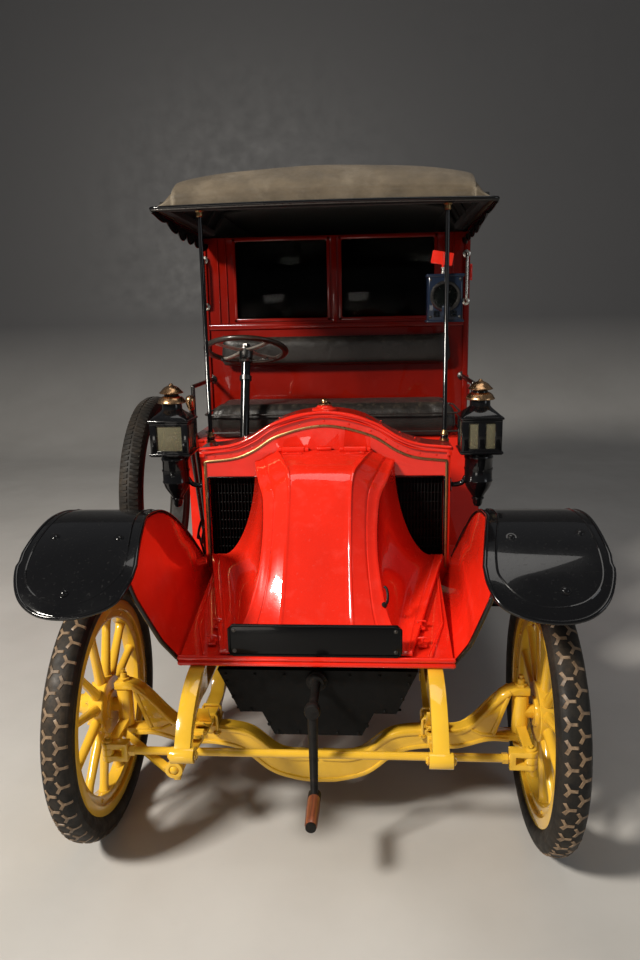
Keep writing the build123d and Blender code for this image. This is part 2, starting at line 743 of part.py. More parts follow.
with BuildPart() as floor:
    slab(-body_half_width, body_half_width, floor_front, cab_back, rail_top + seat_gap, floor_top)
    # sloping toe board
    with BuildSketch(lengthwise(-scuttle_half_width)):
        Polygon((behind(floor_front), floor_top - 5), (behind(floor_front + 190), floor_top - 5),
                (behind(floor_front + 170), floor_top + 5), (behind(floor_front + 20), 800),
                (behind(floor_front), 800), align=None)
    extrude(amount=2 * scuttle_half_width)
    # box under the driver's seat, boarded all round
    slab(-body_half_width, body_half_width, seat_front, seat_rear, floor_top - 5,
         driver_seat_z - seat_gap)
    slab(-body_half_width + 18, body_half_width - 18, seat_front + 18, seat_rear + 1,
         floor_top, driver_seat_z - 18, Mode.SUBTRACT)
    rod(down_column(300), down_column(column_length + 30), column_radius + 6, mode=Mode.SUBTRACT)

with BuildPart() as driver_seat:
    slab(-545, 545, seat_front - 10, seat_rear - 95, driver_seat_z, driver_seat_z + driver_cushion)
    slab(-545, 545, seat_rear - 80, seat_rear, 1395, 1545)
    fillet(driver_seat.edges().filter_by(Axis.X), 30)

with BuildPart() as armrests:
    for side in (-1, 1):
        rod((side * 590, seat_front + 40, driver_seat_z + seat_gap), (side * 590, seat_front + 40, 1330), 9)
        rod((side * 590, seat_front + 40, 1330), (side * 590, seat_rear, 1330), 9)
        with Locations(place((side * 590, seat_front + 40, 1330))):
            Sphere(9)

window_sill = 1605
window_top = 1960
window_inner = 30
window_outer = 460
corner_radius = 24
roof_under = 1975
with BuildPart() as bulkhead:
    slab(-body_half_width, body_half_width, bulkhead_front, bulkhead_front + bulkhead_thickness,
         sill_z, roof_under)
    for side in (-1, 1):
        with BuildSketch(across(bulkhead_front - 1)):
            with Locations((side * (window_inner + window_outer) / 2, (window_sill + window_top) / 2)):
                RectangleRounded(window_outer - window_inner, window_top - window_sill, corner_radius)
        extrude(amount=-bulkhead_thickness - 2, mode=Mode.SUBTRACT)

side_front = bulkhead_front + bulkhead_thickness + seat_gap
hinge_heights = (760, 1250, 1800)
hinge_x = body_half_width + 10
hinge_y = door_front - moving_gap / 2
hinge_pin = 4
hinge_barrel = 8
hinge_half = 24
door_rail = 70
moulding = 5


def make_side(name, side):
    """One side of the cab: front post, sill, door post, quarter panel and top rail."""
    with BuildPart() as panel:
        low, high = sorted((side * wall_x, side * body_half_width))
        slab(low, high, side_front, hood_front, sill_z, roof_under)
        slab(low, high, hood_front, cab_back - 120, sill_z, belt_z)
        slab(low - 1, high + 1, door_front - moving_gap, door_rear + moving_gap,
             floor_top, sill_z + 2 * moving_gap + door_height, Mode.SUBTRACT)
        # hinge pins and the lugs at both ends of each
        for height in hinge_heights:
            with Locations((side * hinge_x, behind(hinge_y), height)):
                Cylinder(hinge_pin, 2 * hinge_half + 24)
            for lug in (-1, 1):
                middle = height + lug * (hinge_half + 6.5)
                slab(*sorted((side * (body_half_width - 4), side * hinge_x)), hinge_y - 24,
                     hinge_y, middle - 6, middle + 6)
                with Locations((side * hinge_x, behind(hinge_y), middle)):
                    Cylinder(hinge_barrel, 12)
    save(name, panel.part)


def make_door(name, side):
    with BuildPart() as door:
        low, high = sorted((side * wall_x, side * body_half_width))
        slab(low, high, door_front, door_rear, sill_z + moving_gap,
             sill_z + moving_gap + door_height)
        # window between the belt and the top rail
        foot, head = belt_z + 60, sill_z + moving_gap + door_height - door_rail
        with BuildSketch(lengthwise(low - 1)):
            with Locations((behind((door_front + door_rear) / 2), (foot + head) / 2)):
                RectangleRounded(door_width - 2 * door_rail, head - foot, corner_radius)
        extrude(amount=wall + 2, mode=Mode.SUBTRACT)
        # belt moulding, and the raised edge of the lower panel
        for lower, upper in ((belt_z - 14, belt_z + 6), (sill_z + 70, sill_z + 82)):
            slab(*sorted((side * (body_half_width - 2), side * (body_half_width + moulding))),
                 door_front + 46, door_rear - 12, lower, upper)
        rod((side * (body_half_width + 16), door_rear - 50, 1200),
            (side * (body_half_width + 16), door_rear - 130, 1200), 7)
        rod((side * (body_half_width - 4), door_rear - 55, 1200),
            (side * (body_half_width + 16), door_rear - 55, 1200), 7)
        for height in hinge_heights:
            with Locations((side * hinge_x, behind(hinge_y), height)):
                Cylinder(hinge_barrel, 2 * hinge_half)
            slab(*sorted((side * (body_half_width - 4), side * hinge_x)), hinge_y,
                 door_front + 40, height - hinge_half, height + hinge_half)
            with Locations((side * hinge_x, behind(hinge_y), height)):
                Cylinder(hinge_pin + running_gap, 4 * hinge_half, mode=Mode.SUBTRACT)
    save(name, door.part)


for name, side in (("right", -1), ("left", 1)):
    make_side("cabin_side_" + name, side)
    make_door("door_" + name, side)

with BuildPart() as cabin_back:
    with BuildSketch(Plane.XY.offset(sill_z)):
        with BuildLine():
            Polyline((-body_half_width, behind(cab_back - 120 + seat_gap)),
                     (-body_half_width, behind(cab_back - 90)))
            RadiusArc((-body_half_width, behind(cab_back - 90)),
                      (-body_half_width + 90, behind(cab_back)), 90)
            Line((-body_half_width + 90, behind(cab_back)), (body_half_width - 90, behind(cab_back)))
            RadiusArc((body_half_width - 90, behind(cab_back)),
                      (body_half_width, behind(cab_back - 90)), 90)
            Polyline((body_half_width, behind(cab_back - 90)),
                     (body_half_width, behind(cab_back - 120 + seat_gap)),
                     (-body_half_width, behind(cab_back - 120 + seat_gap)))
        make_face()
    extrude(amount=belt_z - sill_z)
    slab(-wall_x, wall_x, cab_back - 130, cab_back - wall, sill_z - 1, belt_z + 1, Mode.SUBTRACT)

with BuildPart() as passenger_seat:
    slab(-560, 560, 2330, 2740, floor_top + seat_gap, 1060)
    slab(-560, 560, 2730, cab_back - wall - seat_gap, floor_top + seat_gap, 1500)
    fillet(passenger_seat.edges().filter_by(Axis.X).filter_by_position(Axis.Z, 1000, 1600), 40)

for name, piece in (("floor", floor), ("driver_seat", driver_seat), ("armrests", armrests),
                    ("bulkhead", bulkhead), ("cabin_back", cabin_back),
                    ("passenger_seat", passenger_seat)):
    save(name, piece.part)

# ---------------------------------------------------------------- roof and hood
roof_half = 600
roof_top = 2155
roof_shell = 26
header_z = 1985


def arch(half, side_z, top_z, inset):
    """The crown and rounded shoulders, as two arcs' points from the middle outward."""
    rise, side = top_z - side_z, half - inset
    crown = (side - 75, side_z + 0.74 * rise - inset)
    shoulder = (side - 27, side_z + 0.56 * rise - inset)
    foot = (side - 8, side_z + 0.28 * rise - inset)
    return crown, shoulder, foot


def arched_face(half, side_z, top_z, inset, bottom):
    """Arched section of the roof or hood, closed along its lower edge."""
    crown, shoulder, foot = arch(half, side_z, top_z, inset)
    side = half - inset
    with BuildLine() as outline:
        ThreePointArc((-crown[0], crown[1]), (0, top_z - inset), crown)
        ThreePointArc(crown, shoulder, foot)
        Polyline(foot, (side, bottom), (-side, bottom), (-foot[0], foot[1]))
        ThreePointArc((-foot[0], foot[1]), (-shoulder[0], shoulder[1]), (-crown[0], crown[1]))
    make_face(outline.edges())


def roof_section(station, side_z, top_z, half, inset):
    with BuildSketch(across(station)) as section:
        arched_face(half, side_z, top_z, inset, side_z - 3 * inset)
    return section.sketch.face()


roof_rise = [(0, 60), (14, 82), (38, 104), (74, 128), (124, 148), (194, 160), (300, 168)]
roof_stations = [(roof_front + reach, header_z + 5 - reach / 100, header_z + 2 + rise, roof_half)
                 for reach, rise in roof_rise]
roof_stations.append((hood_front, 1976, roof_top, body_half_width))
with BuildPart() as roof:
    loft([roof_section(*row, 0) for row in roof_stations], ruled=True)
    inner = [list(row) for row in roof_stations]
    inner[0][0] += roof_shell
    inner[1][0] += roof_shell - 8
    inner[2][0] += roof_shell - 16
    inner[-1][0] += 1
    loft([roof_section(*row, roof_shell) for row in inner], ruled=True, mode=Mode.SUBTRACT)
    # header rail behind the front lip
    slab(-roof_half + 30, roof_half - 30, roof_front + 24, roof_front + 56, header_z, 2040)

hood_wall = 14
with BuildPart() as hood:
    for inset, mode in ((0, Mode.ADD), (hood_wall, Mode.SUBTRACT)):
        front = behind(hood_front + (-1 if inset else seat_gap))
        low = belt_z + (-1 if inset else seat_gap)
        with BuildSketch(lengthwise(-body_half_width)) as profile:
            with BuildLine():
                Polyline((front, low), (front, roof_top - inset), (behind(2560), roof_top - inset))
                Spline((behind(2560), roof_top - inset), (behind(2850) - inset / 2, 2060 - inset),
                       (behind(2985) - inset, 1850), (behind(3000) - inset, 1600),
                       (behind(2980) - inset, low), tangents=((1, 0), (-0.1, -1)))
                Line((behind(2980) - inset, low), (front, low))
            make_face()
        body = extrude(profile.sketch, amount=2 * body_half_width, mode=Mode.PRIVATE)
        with BuildSketch(across(hood_front - 20)) as section:
            arched_face(body_half_width, 1976, roof_top, inset, belt_z - 20)
        tunnel = extrude(section.sketch, amount=-1000, mode=Mode.PRIVATE)
        add(body & tunnel, mode=mode)

for name, piece in (("roof", roof), ("hood", hood)):
    save(name, piece.part)

# ---------------------------------------------------------------- fenders and running boards
board_inner = fender_half_width - 220
board_rear = wheelbase - 510
rear_fender_run = [(wheelbase + reach, z) for reach, z in (
    (-507, board_top), (-488, 640), (-420, 770), (-300, 872), (-150, 925), (0, 935), (150, 920),
    (300, 850), (410, 740), (480, 610), (530, 520), (rear_overhang, 470),
    (rear_overhang + 12, 466))]


def fender_plan():
    """The front fender's outline seen from above, closed behind the running board's end."""
    middle = fender_inner + fender_width / 2
    with BuildLine() as outline:
        Spline((fender_inner - 42, behind(-290)), (fender_inner - 14, behind(-375)),
               (middle - 10, behind(fender_tip)), (fender_half_width - 42, behind(-375)),
               (fender_half_width, behind(-250)), tangents=((0.1, -1), (0, 1)))
        Polyline((fender_half_width, behind(-250)), (fender_half_width, behind(board_front)),
                 (board_inner, behind(board_front)), (fender_inner - 44, behind(valance_rear)),
                 (fender_inner - 34, behind(440)), (fender_inner - 11, behind(300)),
                 (fender_inner - 2, behind(130)), (fender_inner, behind(-44)),
                 (fender_inner - 42, behind(-290)))
    make_face(outline.edges())


with BuildPart() as front_fenders:
    extrude(fender_line(fender_sheet), amount=fender_half_width)
    with BuildSketch() as plan:
        fender_plan()
    extrude(plan.sketch, amount=1200, mode=Mode.INTERSECT)
    # rolled edge along the outer side
    with BuildSketch() as edge:
        with Locations((fender_half_width, 0)):
            Rectangle(2 * edge_roll, 2 * overall_length)
    rolled = extrude(fender_line(edge_roll), amount=fender_half_width, mode=Mode.PRIVATE)
    add(rolled & extrude(edge.sketch, amount=1200, mode=Mode.PRIVATE)
        & extrude(plan.sketch, amount=1200, mode=Mode.PRIVATE))
    mirrored()

with BuildPart() as rear_fenders:
    for width, depth in ((fender_sheet, fender_reach - 4), (edge_roll, edge_roll)):
        with BuildSketch(lengthwise(fender_half_width)) as profile:
            with BuildLine():
                Spline(*[(behind(y), z) for y, z in rear_fender_run])
            trace(line_width=width)
        extrude(profile.sketch, amount=-depth)
    slab(0, fender_half_width, board_rear, wheelbase + rear_overhang, 0, 1200, Mode.INTERSECT)
    mirrored()

with BuildPart() as running_boards:
    slab(board_inner, fender_half_width, board_front + seat_gap, board_rear - seat_gap,
         board_top - board_thickness, board_top)
    slab(board_inner, board_inner + 5, board_front + seat_gap, board_rear - seat_gap,
         board_top, rail_top)
    mirrored()

# ---------------------------------------------------------------- stays, lamps, meter, levers
stay_x = 436
stay_y = roof_front + 40
stay_radius = 8
with BuildPart() as roof_stays:
    for side in (-1, 1):
        foot_z = scuttle_shoulder + 17
        rod((side * stay_x, stay_y, foot_z), (side * stay_x, stay_y, header_z - seat_gap),
            stay_radius)
        with Locations(place((side * stay_x, stay_y, foot_z))):
            Sphere(15)

lamp_x = 548
lamp_y = 500
lamp_half = 69
pane_foot = 1146
pane_head = 1222
lamp_barrel = [(0, 930), (9, 932), (17, 946), (21, 975), (34, 1020), (45, 1052), (60, 1058),
               (60, 1070), (47, 1075), (55, 1095), (54, 1118), (45, 1134), (0, 1134)]
lamp_chimney = [(0, 1296), (46, 1296), (48, 1318), (36, 1324), (33, 1346), (42, 1350),
                (38, 1362), (22, 1372), (10, 1378), (8, 1388), (0, 1392)]
pane_width = 2 * lamp_half - 24
shoulder_top = 1300
shoulder_width = 88
with BuildPart() as side_lamps:
    for side in (-1, 1):
        centre = (side * lamp_x, behind(lamp_y))
        # glazed square body between two ledges
        slab(centre[0] - lamp_half, centre[0] + lamp_half, lamp_y - lamp_half, lamp_y + lamp_half,
             1134, pane_head + 12)
        for wide, deep in ((pane_width, 2 * lamp_half + 2), (2 * lamp_half + 2, pane_width)):
            with Locations((*centre, (pane_foot + pane_head) / 2)):
                Box(wide, deep, pane_head - pane_foot, mode=Mode.SUBTRACT)
        slab(centre[0] - lamp_half + 5, centre[0] + lamp_half - 5, lamp_y - lamp_half + 5,
             lamp_y + lamp_half - 5, pane_foot - 1, pane_head + 1)
        for ledge in (1130, pane_head):
            slab(centre[0] - lamp_half - 5, centre[0] + lamp_half + 5, lamp_y - lamp_half - 5,
                 lamp_y + lamp_half + 5, ledge, ledge + 10)
        with BuildSketch(Plane.XY.offset(pane_head + 10)):
            with Locations(centre):
                Rectangle(2 * lamp_half, 2 * lamp_half)
        with BuildSketch(Plane.XY.offset(shoulder_top)):
            with Locations(centre):
                Rectangle(shoulder_width, shoulder_width)
        loft()
        with BuildSketch(Plane.XZ.offset(-centre[1])):
            for turned in (lamp_barrel, lamp_chimney):
                Polygon(*[(centre[0] + reach, z) for reach, z in turned], align=None)
        revolve(axis=Axis((*centre, 0), (0, 0, 1)))
        rod((side * (scuttle_half_width + seat_gap), lamp_y, 1010),
            (side * (lamp_x - 20), lamp_y, 1010), 9)

with BuildPart() as taximeter:
    meter_y = stay_y + stay_radius + 12
    slab(stay_x - 67, stay_x + 63, meter_y, meter_y + 90, 1580, 1750)
    slab(stay_x - 14, stay_x + 14, stay_y + stay_radius + seat_gap, meter_y + 1, 1600, 1640)
    rod((stay_x, meter_y + 45, 1750), (stay_x, meter_y + 45, 1790), 6)
    rod((stay_x - 8, meter_y + 41, 1810), (stay_x - 8, meter_y + 49, 1810), 42)

brake_lever_top = 1300
gear_lever_top = 1210
lever_spacing = 60
with BuildPart() as hand_levers:
    for offset, top in ((0, brake_lever_top), (lever_spacing, gear_lever_top)):
        rod((-500 - offset / 2, 790 + offset, sill_z + 1.2), (-530 - offset / 2, 700 + offset, top), 9)
        with Locations(place((-530 - offset / 2, 700 + offset, top))):
            Sphere(19)

for name, piece in (("front_fenders", front_fenders), ("rear_fenders", rear_fenders),
                    ("running_boards", running_boards), ("roof_stays", roof_stays),
                    ("side_lamps", side_lamps), ("taximeter", taximeter),
                    ("hand_levers", hand_levers)):
    save(name, piece.part)
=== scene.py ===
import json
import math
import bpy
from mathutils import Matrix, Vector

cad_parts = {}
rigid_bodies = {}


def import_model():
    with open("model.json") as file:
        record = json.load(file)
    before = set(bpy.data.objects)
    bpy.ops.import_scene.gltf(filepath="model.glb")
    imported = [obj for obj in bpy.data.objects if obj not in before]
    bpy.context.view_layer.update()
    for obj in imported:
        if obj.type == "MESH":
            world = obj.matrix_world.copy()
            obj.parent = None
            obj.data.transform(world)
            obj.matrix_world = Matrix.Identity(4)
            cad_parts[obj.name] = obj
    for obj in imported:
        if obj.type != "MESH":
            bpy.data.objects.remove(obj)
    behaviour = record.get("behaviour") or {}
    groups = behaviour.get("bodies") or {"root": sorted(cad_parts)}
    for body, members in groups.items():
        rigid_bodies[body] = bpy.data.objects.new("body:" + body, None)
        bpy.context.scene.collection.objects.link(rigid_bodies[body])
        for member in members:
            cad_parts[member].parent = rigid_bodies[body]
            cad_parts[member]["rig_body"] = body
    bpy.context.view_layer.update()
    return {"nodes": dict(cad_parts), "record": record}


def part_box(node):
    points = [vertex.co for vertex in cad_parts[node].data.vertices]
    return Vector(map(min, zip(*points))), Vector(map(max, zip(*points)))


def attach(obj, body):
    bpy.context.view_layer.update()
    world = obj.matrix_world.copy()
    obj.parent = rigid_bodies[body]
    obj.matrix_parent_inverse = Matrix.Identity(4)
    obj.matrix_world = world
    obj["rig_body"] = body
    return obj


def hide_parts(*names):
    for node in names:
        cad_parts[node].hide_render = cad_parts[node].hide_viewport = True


bl_info = {
    "name": "Vintage taxi dressing",
    "version": (1, 0, 0),
    "blender": (4, 5, 0),
    "location": "View3D > Sidebar > Taxi",
    "description": "Dresses the packed taxi: coachwork, leather, brass, rubber and glass",
    "category": "Object",
}

import bmesh
import bpy
import numpy as np
from mathutils import Matrix, Vector

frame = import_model()
CAD_NODES = dict(frame["nodes"])
SLOTS = {part["node"]: part["material_slot"] for part in frame["record"]["subparts"]}


def middle(node):
    low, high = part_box(node)
    return (low + high) / 2


AXLE_Y = middle("tyre_front_left").y
WHEELS = {name: middle("tyre_" + name) for name in
          ("front_right", "front_left", "rear_right", "rear_left")}


# ------------------------------------------------------------------ settings
class TaxiColours(bpy.types.PropertyGroup):
    """The colours that an owner would choose"""
    body: bpy.props.FloatVectorProperty(
        name="Coachwork", description="Paint of the bonnet, scuttle and cab", subtype="COLOR",
        size=3, min=0, max=1, default=(0.80, 0.022, 0.008))
    running_gear: bpy.props.FloatVectorProperty(
        name="Running gear", description="Paint of the wheels, axle and front irons",
        subtype="COLOR", size=3, min=0, max=1, default=(0.80, 0.47, 0.035))
    fenders: bpy.props.FloatVectorProperty(
        name="Fenders", description="Enamel of the fenders, lamps and boards", subtype="COLOR",
        size=3, min=0, max=1, default=(0.0035, 0.0035, 0.004))
    roof: bpy.props.FloatVectorProperty(
        name="Roof cloth", description="Coated cloth over the driver's canopy", subtype="COLOR",
        size=3, min=0, max=1, default=(0.115, 0.088, 0.056))
    # Near-black leather: its own black, darkened further as painted shade for the seats under the
    # canopy.
    leather: bpy.props.FloatVectorProperty(
        name="Leather", description="Leather of the seats and the rear hood", subtype="COLOR",
        size=3, min=0, max=1, default=(0.018, 0.015, 0.013))


class TaxiSizes(bpy.types.PropertyGroup):
    """Sizes of the trim that the dressing adds"""
    rivet: bpy.props.FloatProperty(
        name="Rivet radius", description="Radius of the small round heads", subtype="DISTANCE",
        unit="LENGTH", min=0.001, max=0.01, default=0.0045)
    fender_bolt: bpy.props.FloatProperty(
        name="Fender bolt radius", description="Radius of the domed fender bolts",
        subtype="DISTANCE", unit="LENGTH", min=0.004, max=0.02, default=0.0105)
    tread_marks: bpy.props.IntProperty(
        name="Tread marks", description="Tread marks round each road tyre", min=20, max=120,
        default=88)
    spokes: bpy.props.IntProperty(
        name="Spokes", description="Wooden spokes in each wheel", min=8, max=16, default=12)
    brass_width: bpy.props.FloatProperty(
        name="Brass strip", description="Width of the brass strip on the scuttle",
        subtype="DISTANCE", unit="LENGTH", min=0.004, max=0.02, default=0.010)


# ------------------------------------------------------------------ finishes
class Finish:
    """A material that is put together from plain words."""

    def __init__(self, name):
        self.material = bpy.data.materials.new(name)
        self.material.use_nodes = True
        self.tree = self.material.node_tree
        self.tree.nodes.clear()
        self.shader = self.tree.nodes.new("ShaderNodeBsdfPrincipled")
        surface = self.tree.nodes.new("ShaderNodeOutputMaterial")
        self.tree.links.new(self.shader.outputs[0], surface.inputs[0])
        self.place = self.tree.nodes.new("ShaderNodeTexCoord").outputs["Object"]

    def give(self, socket, value, colour=False):
        """Links another node's output to a socket, or sets its plain value."""
        if isinstance(value, bpy.types.NodeSocket):
            self.tree.links.new(value, socket)
        else:
            socket.default_value = (*value[:3], 1) if colour else value

    def add(self, kind, inputs=(), **settings):
        node = self.tree.nodes.new(kind)
        for key, value in settings.items():
            setattr(node, key, value)
        for key, value in dict(inputs).items():
            self.give(node.inputs[key], value)
        return node

    def stretched(self, scale, turn=(0, 0, 0)):
        return self.add("ShaderNodeMapping", {"Vector": self.place, "Scale": scale,
                                              "Rotation": turn}).outputs[0]

    def noise(self, scale, detail=4, roughness=0.55, place=None, distortion=0.0):
        return self.add("ShaderNodeTexNoise", {
            "Vector": place or self.place, "Scale": scale, "Detail": detail,
            "Roughness": roughness, "Distortion": distortion}).outputs["Fac"]

    def cells(self, scale, feature):
        return self.add("ShaderNodeTexVoronoi", {"Vector": self.place, "Scale": scale},
                        feature=feature).outputs["Distance"]

    def waves(self, scale, distortion, across):
        return self.add("ShaderNodeTexWave", {"Vector": self.place, "Scale": scale,
                                              "Distortion": distortion},
                        bands_direction=across).outputs["Fac"]

    def band(self, value, low, high, to_low=0.0, to_high=1.0):
        return self.add("ShaderNodeMapRange", {
            "Value": value, "From Min": low, "From Max": high, "To Min": to_low,
            "To Max": to_high}).outputs[0]

    def blend(self, share, first, second):
        node = self.add("ShaderNodeMix", data_type="RGBA")
        self.give(node.inputs[0], share)
        self.give(node.inputs[6], first, colour=True)
        self.give(node.inputs[7], second, colour=True)
        return node.outputs[2]

    def sum(self, way, first, second):
        node = self.add("ShaderNodeMath", operation=way)
        self.give(node.inputs[0], first)
        self.give(node.inputs[1], second)
        return node.outputs[0]

    def relief(self, height, depth, strength, under=None):
        node = self.add("ShaderNodeBump", {"Height": height, "Distance": depth,
                                           "Strength": strength})
        if under is not None:
            self.give(node.inputs["Normal"], under)
        return node.outputs[0]

    def edges(self, radius):
        """High along outer and inner edges, from how far an eased normal leans away."""
        eased = self.add("ShaderNodeBevel", {"Radius": radius}, samples=6).outputs[0]
        plain = self.add("ShaderNodeNewGeometry").outputs["Normal"]
        lean = self.add("ShaderNodeVectorMath", operation="DOT_PRODUCT")
        self.give(lean.inputs[0], eased)
        self.give(lean.inputs[1], plain)
        return self.band(lean.outputs["Value"], 0.995, 0.86)

    def upward(self):
        """High where the surface faces the sky."""
        facing = self.add("ShaderNodeNewGeometry").outputs["Normal"]
        return self.add("ShaderNodeSeparateXYZ", {"Vector": facing}).outputs["Z"]

    def shade(self, **sockets):
        for key, value in sockets.items():
            self.give(self.shader.inputs[key.replace("_", " ")], value, key == "Base_Color")
        return self.material


def darker(colour, share):
    return tuple(channel * share for channel in colour[:3])


def towards(colour, other, share):
    return tuple(a + (b - a) * share for a, b in zip(colour[:3], other[:3]))


def coach_enamel(name, colour, wear, dust, coat=0.9):
    """Brushed coach paint: deep gloss, slow ripples, dust, and wear on the edges."""
    paint = Finish(name)
    drift = paint.noise(2.6, 5, 0.6)
    cloud = paint.noise(23, 3, 0.5)
    tone = paint.blend(paint.band(drift, 0.35, 0.7), colour, darker(colour, 0.78))
    tone = paint.blend(paint.band(cloud, 0.55, 0.85, 0, 0.35), tone,
                       towards(colour, (0.9, 0.8, 0.7), 0.07 * max(colour)))
    specks = paint.sum("MULTIPLY", paint.band(paint.noise(95, 6, 0.7), 0.60, 0.72),
                       paint.band(paint.upward(), 0.2, 0.95))
    tone = paint.blend(paint.sum("MULTIPLY", specks, dust), tone, (0.34, 0.29, 0.22))
    rubbed = paint.sum("MULTIPLY", paint.edges(0.004), paint.band(paint.noise(38, 5, 0.7),
                                                                  0.50, 0.66))
    tone = paint.blend(paint.sum("MULTIPLY", rubbed, wear), tone, (0.045, 0.028, 0.018))
    ripple = paint.relief(paint.noise(7, 2, 0.4), 0.0022, 0.28)
    peel = paint.relief(paint.noise(420, 2, 0.5), 0.00015, 0.35, ripple)
    gloss = paint.band(paint.noise(11, 5, 0.65), 0.3, 0.75, 0.13, 0.27)
    return paint.shade(Base_Color=tone, Roughness=paint.sum("ADD", gloss, specks),
                       Normal=peel, Specular_IOR_Level=0.12, Coat_Weight=coat,
                       Coat_Roughness=0.03, Coat_IOR=1.5)


def worked_metal(name, colour, stain, roughness):
    """Polished metal with tarnish, fingered patches and fine scratches."""
    metal = Finish(name)
    cloud = metal.noise(18, 6, 0.65)
    fine = metal.noise(160, 4, 0.6)
    tone = metal.blend(metal.band(cloud, 0.42, 0.72), colour, darker(colour, 0.62))
    dirt = metal.sum("MAXIMUM", metal.band(metal.noise(60, 5, 0.7), 0.60, 0.74, 0, 0.75),
                     metal.sum("MULTIPLY", metal.edges(0.0025), 0.25))
    tone = metal.blend(dirt, tone, stain)
    lines = metal.noise(1, 2, 0.5, metal.stretched((900, 900, 40), (0.5, 0.2, 0.1)))
    rough = metal.sum("ADD", metal.band(fine, 0.35, 0.7, roughness * 0.7, roughness * 1.35),
                      metal.sum("MULTIPLY", dirt, 0.22))
    return metal.shade(Base_Color=tone, Metallic=1.0, Roughness=rough,
                       Normal=metal.relief(lines, 0.00005, 0.5))


def tanned_leather(name, colour, grain, worn):
    """Creased leather: pebbled grain, rubbed high places and a soft sheen."""
    hide = Finish(name)
    pebbles = hide.cells(grain, feature="SMOOTH_F1")
    creases = hide.noise(26, 5, 0.62, distortion=0.8)
    tone = hide.blend(hide.band(hide.noise(9, 5, 0.6), 0.4, 0.72), colour, darker(colour, 0.55))
    tone = hide.blend(hide.sum("MULTIPLY", hide.band(hide.noise(34, 6, 0.7), 0.50, 0.72),
                               hide.band(hide.upward(), 0.1, 0.95, 0, worn)), tone,
                      (0.20, 0.155, 0.105))
    base = hide.relief(creases, 0.0035, 0.45)
    return hide.shade(Base_Color=tone, Normal=hide.relief(pebbles, 0.0006, 0.7, base),
                      Roughness=hide.band(hide.noise(48, 4, 0.6), 0.3, 0.75, 0.30, 0.52),
                      Specular_IOR_Level=0.42, Sheen_Weight=0.02, Sheen_Roughness=0.5)


def coated_cloth(name, colour):
    """Painted roof cloth: fine weave, long streaks of wear and chalky edges."""
    cloth = Finish(name)
    streaks = cloth.noise(1, 6, 0.62, cloth.stretched((9, 2.2, 14), (0, 0, 0.35)))
    tone = cloth.blend(cloth.band(streaks, 0.38, 0.68), darker(colour, 0.62), colour)
    tone = cloth.blend(cloth.band(cloth.noise(7, 6, 0.7), 0.50, 0.80, 0, 0.4), tone,
                       towards(colour, (0.62, 0.55, 0.44), 0.22))
    tone = cloth.blend(cloth.sum("MULTIPLY", cloth.edges(0.010), 0.35), tone,
                       (0.56, 0.48, 0.36))
    weave = cloth.sum("MULTIPLY", cloth.waves(420, 0.6, "X"), cloth.waves(420, 0.6, "Y"))
    base = cloth.relief(cloth.noise(13, 4, 0.6), 0.006, 0.35)
    return cloth.shade(Base_Color=tone, Normal=cloth.relief(weave, 0.0003, 0.5, base),
                       Roughness=cloth.band(cloth.noise(20, 4, 0.6), 0.3, 0.7, 0.48, 0.72),
                       Specular_IOR_Level=0.25, Sheen_Weight=0.03, Sheen_Roughness=0.6)


def road_rubber(name, dusty):
    """Old tyre rubber, greyed on the walls and tan with road dust on the tread."""
    rubber = Finish(name)
    tone = rubber.blend(rubber.band(rubber.noise(16, 6, 0.7), 0.4, 0.75), (0.006, 0.0056, 0.0052),
                        (0.017, 0.015, 0.012))
    dust = rubber.sum("MULTIPLY", rubber.band(rubber.noise(5, 6, 0.72), 0.42, 0.66),
                      rubber.band(rubber.noise(60, 6, 0.75), 0.30, 0.62))
    tone = rubber.blend(rubber.sum("MULTIPLY", dust, dusty), tone, (0.13, 0.085, 0.048))
    cracks = rubber.cells(130, feature="DISTANCE_TO_EDGE")
    base = rubber.relief(rubber.noise(34, 4, 0.6), 0.0018, 0.35)
    return rubber.shade(Base_Color=tone, Normal=rubber.relief(cracks, 0.0004, 0.35, base),
                        Roughness=rubber.band(rubber.noise(28, 5, 0.6), 0.3, 0.7, 0.46, 0.72),
                        Specular_IOR_Level=0.25)


def dust_and_highlight_marks(name):
    """The raised tread marks, painted tan: partly road dust, partly a painted highlight on the
    ridges, with rubbed dark tops.
    """
    rubber = Finish(name)
    tone = rubber.blend(rubber.band(rubber.noise(70, 5, 0.7), 0.36, 0.66), (0.11, 0.070, 0.040),
                        (0.27, 0.18, 0.105))
    tone = rubber.blend(rubber.band(rubber.noise(6, 4, 0.6), 0.50, 0.72, 0, 0.7), tone,
                        (0.022, 0.016, 0.011))
    return rubber.shade(Base_Color=tone, Normal=rubber.relief(rubber.noise(180, 4), 0.0005, 0.4),
                        Roughness=rubber.band(rubber.noise(40), 0.3, 0.7, 0.42, 0.62))


def varnished_wood(name, light, dark, grain):
    """Turned or planed wood with its grain along Y."""
    wood = Finish(name)
    rings = wood.noise(1, 5, 0.6, wood.stretched((grain, grain * 0.06, grain)), 0.7)
    tone = wood.blend(wood.band(rings, 0.36, 0.66), light, dark)
    return wood.shade(Base_Color=tone, Coat_Weight=0.5, Coat_Roughness=0.12,
                      Normal=wood.relief(rings, 0.0006, 0.4),
                      Roughness=wood.band(wood.noise(40), 0.3, 0.7, 0.30, 0.48))


def rough_iron(name, colour, rust):
    """Cast or forged iron, oily black with brown bloom."""
    iron = Finish(name)
    tone = iron.blend(iron.band(iron.noise(20, 6, 0.7), 0.45, 0.75), colour, darker(colour, 0.4))
    tone = iron.blend(iron.band(iron.noise(55, 6, 0.75), 0.56, 0.74, 0, rust), tone,
                      (0.10, 0.045, 0.020))
    return iron.shade(Base_Color=tone, Metallic=0.35, Specular_IOR_Level=0.2,
                      Normal=iron.relief(iron.noise(240, 4, 0.6), 0.0008, 0.4),
                      Roughness=iron.band(iron.noise(33, 4, 0.6), 0.3, 0.75, 0.38, 0.68))


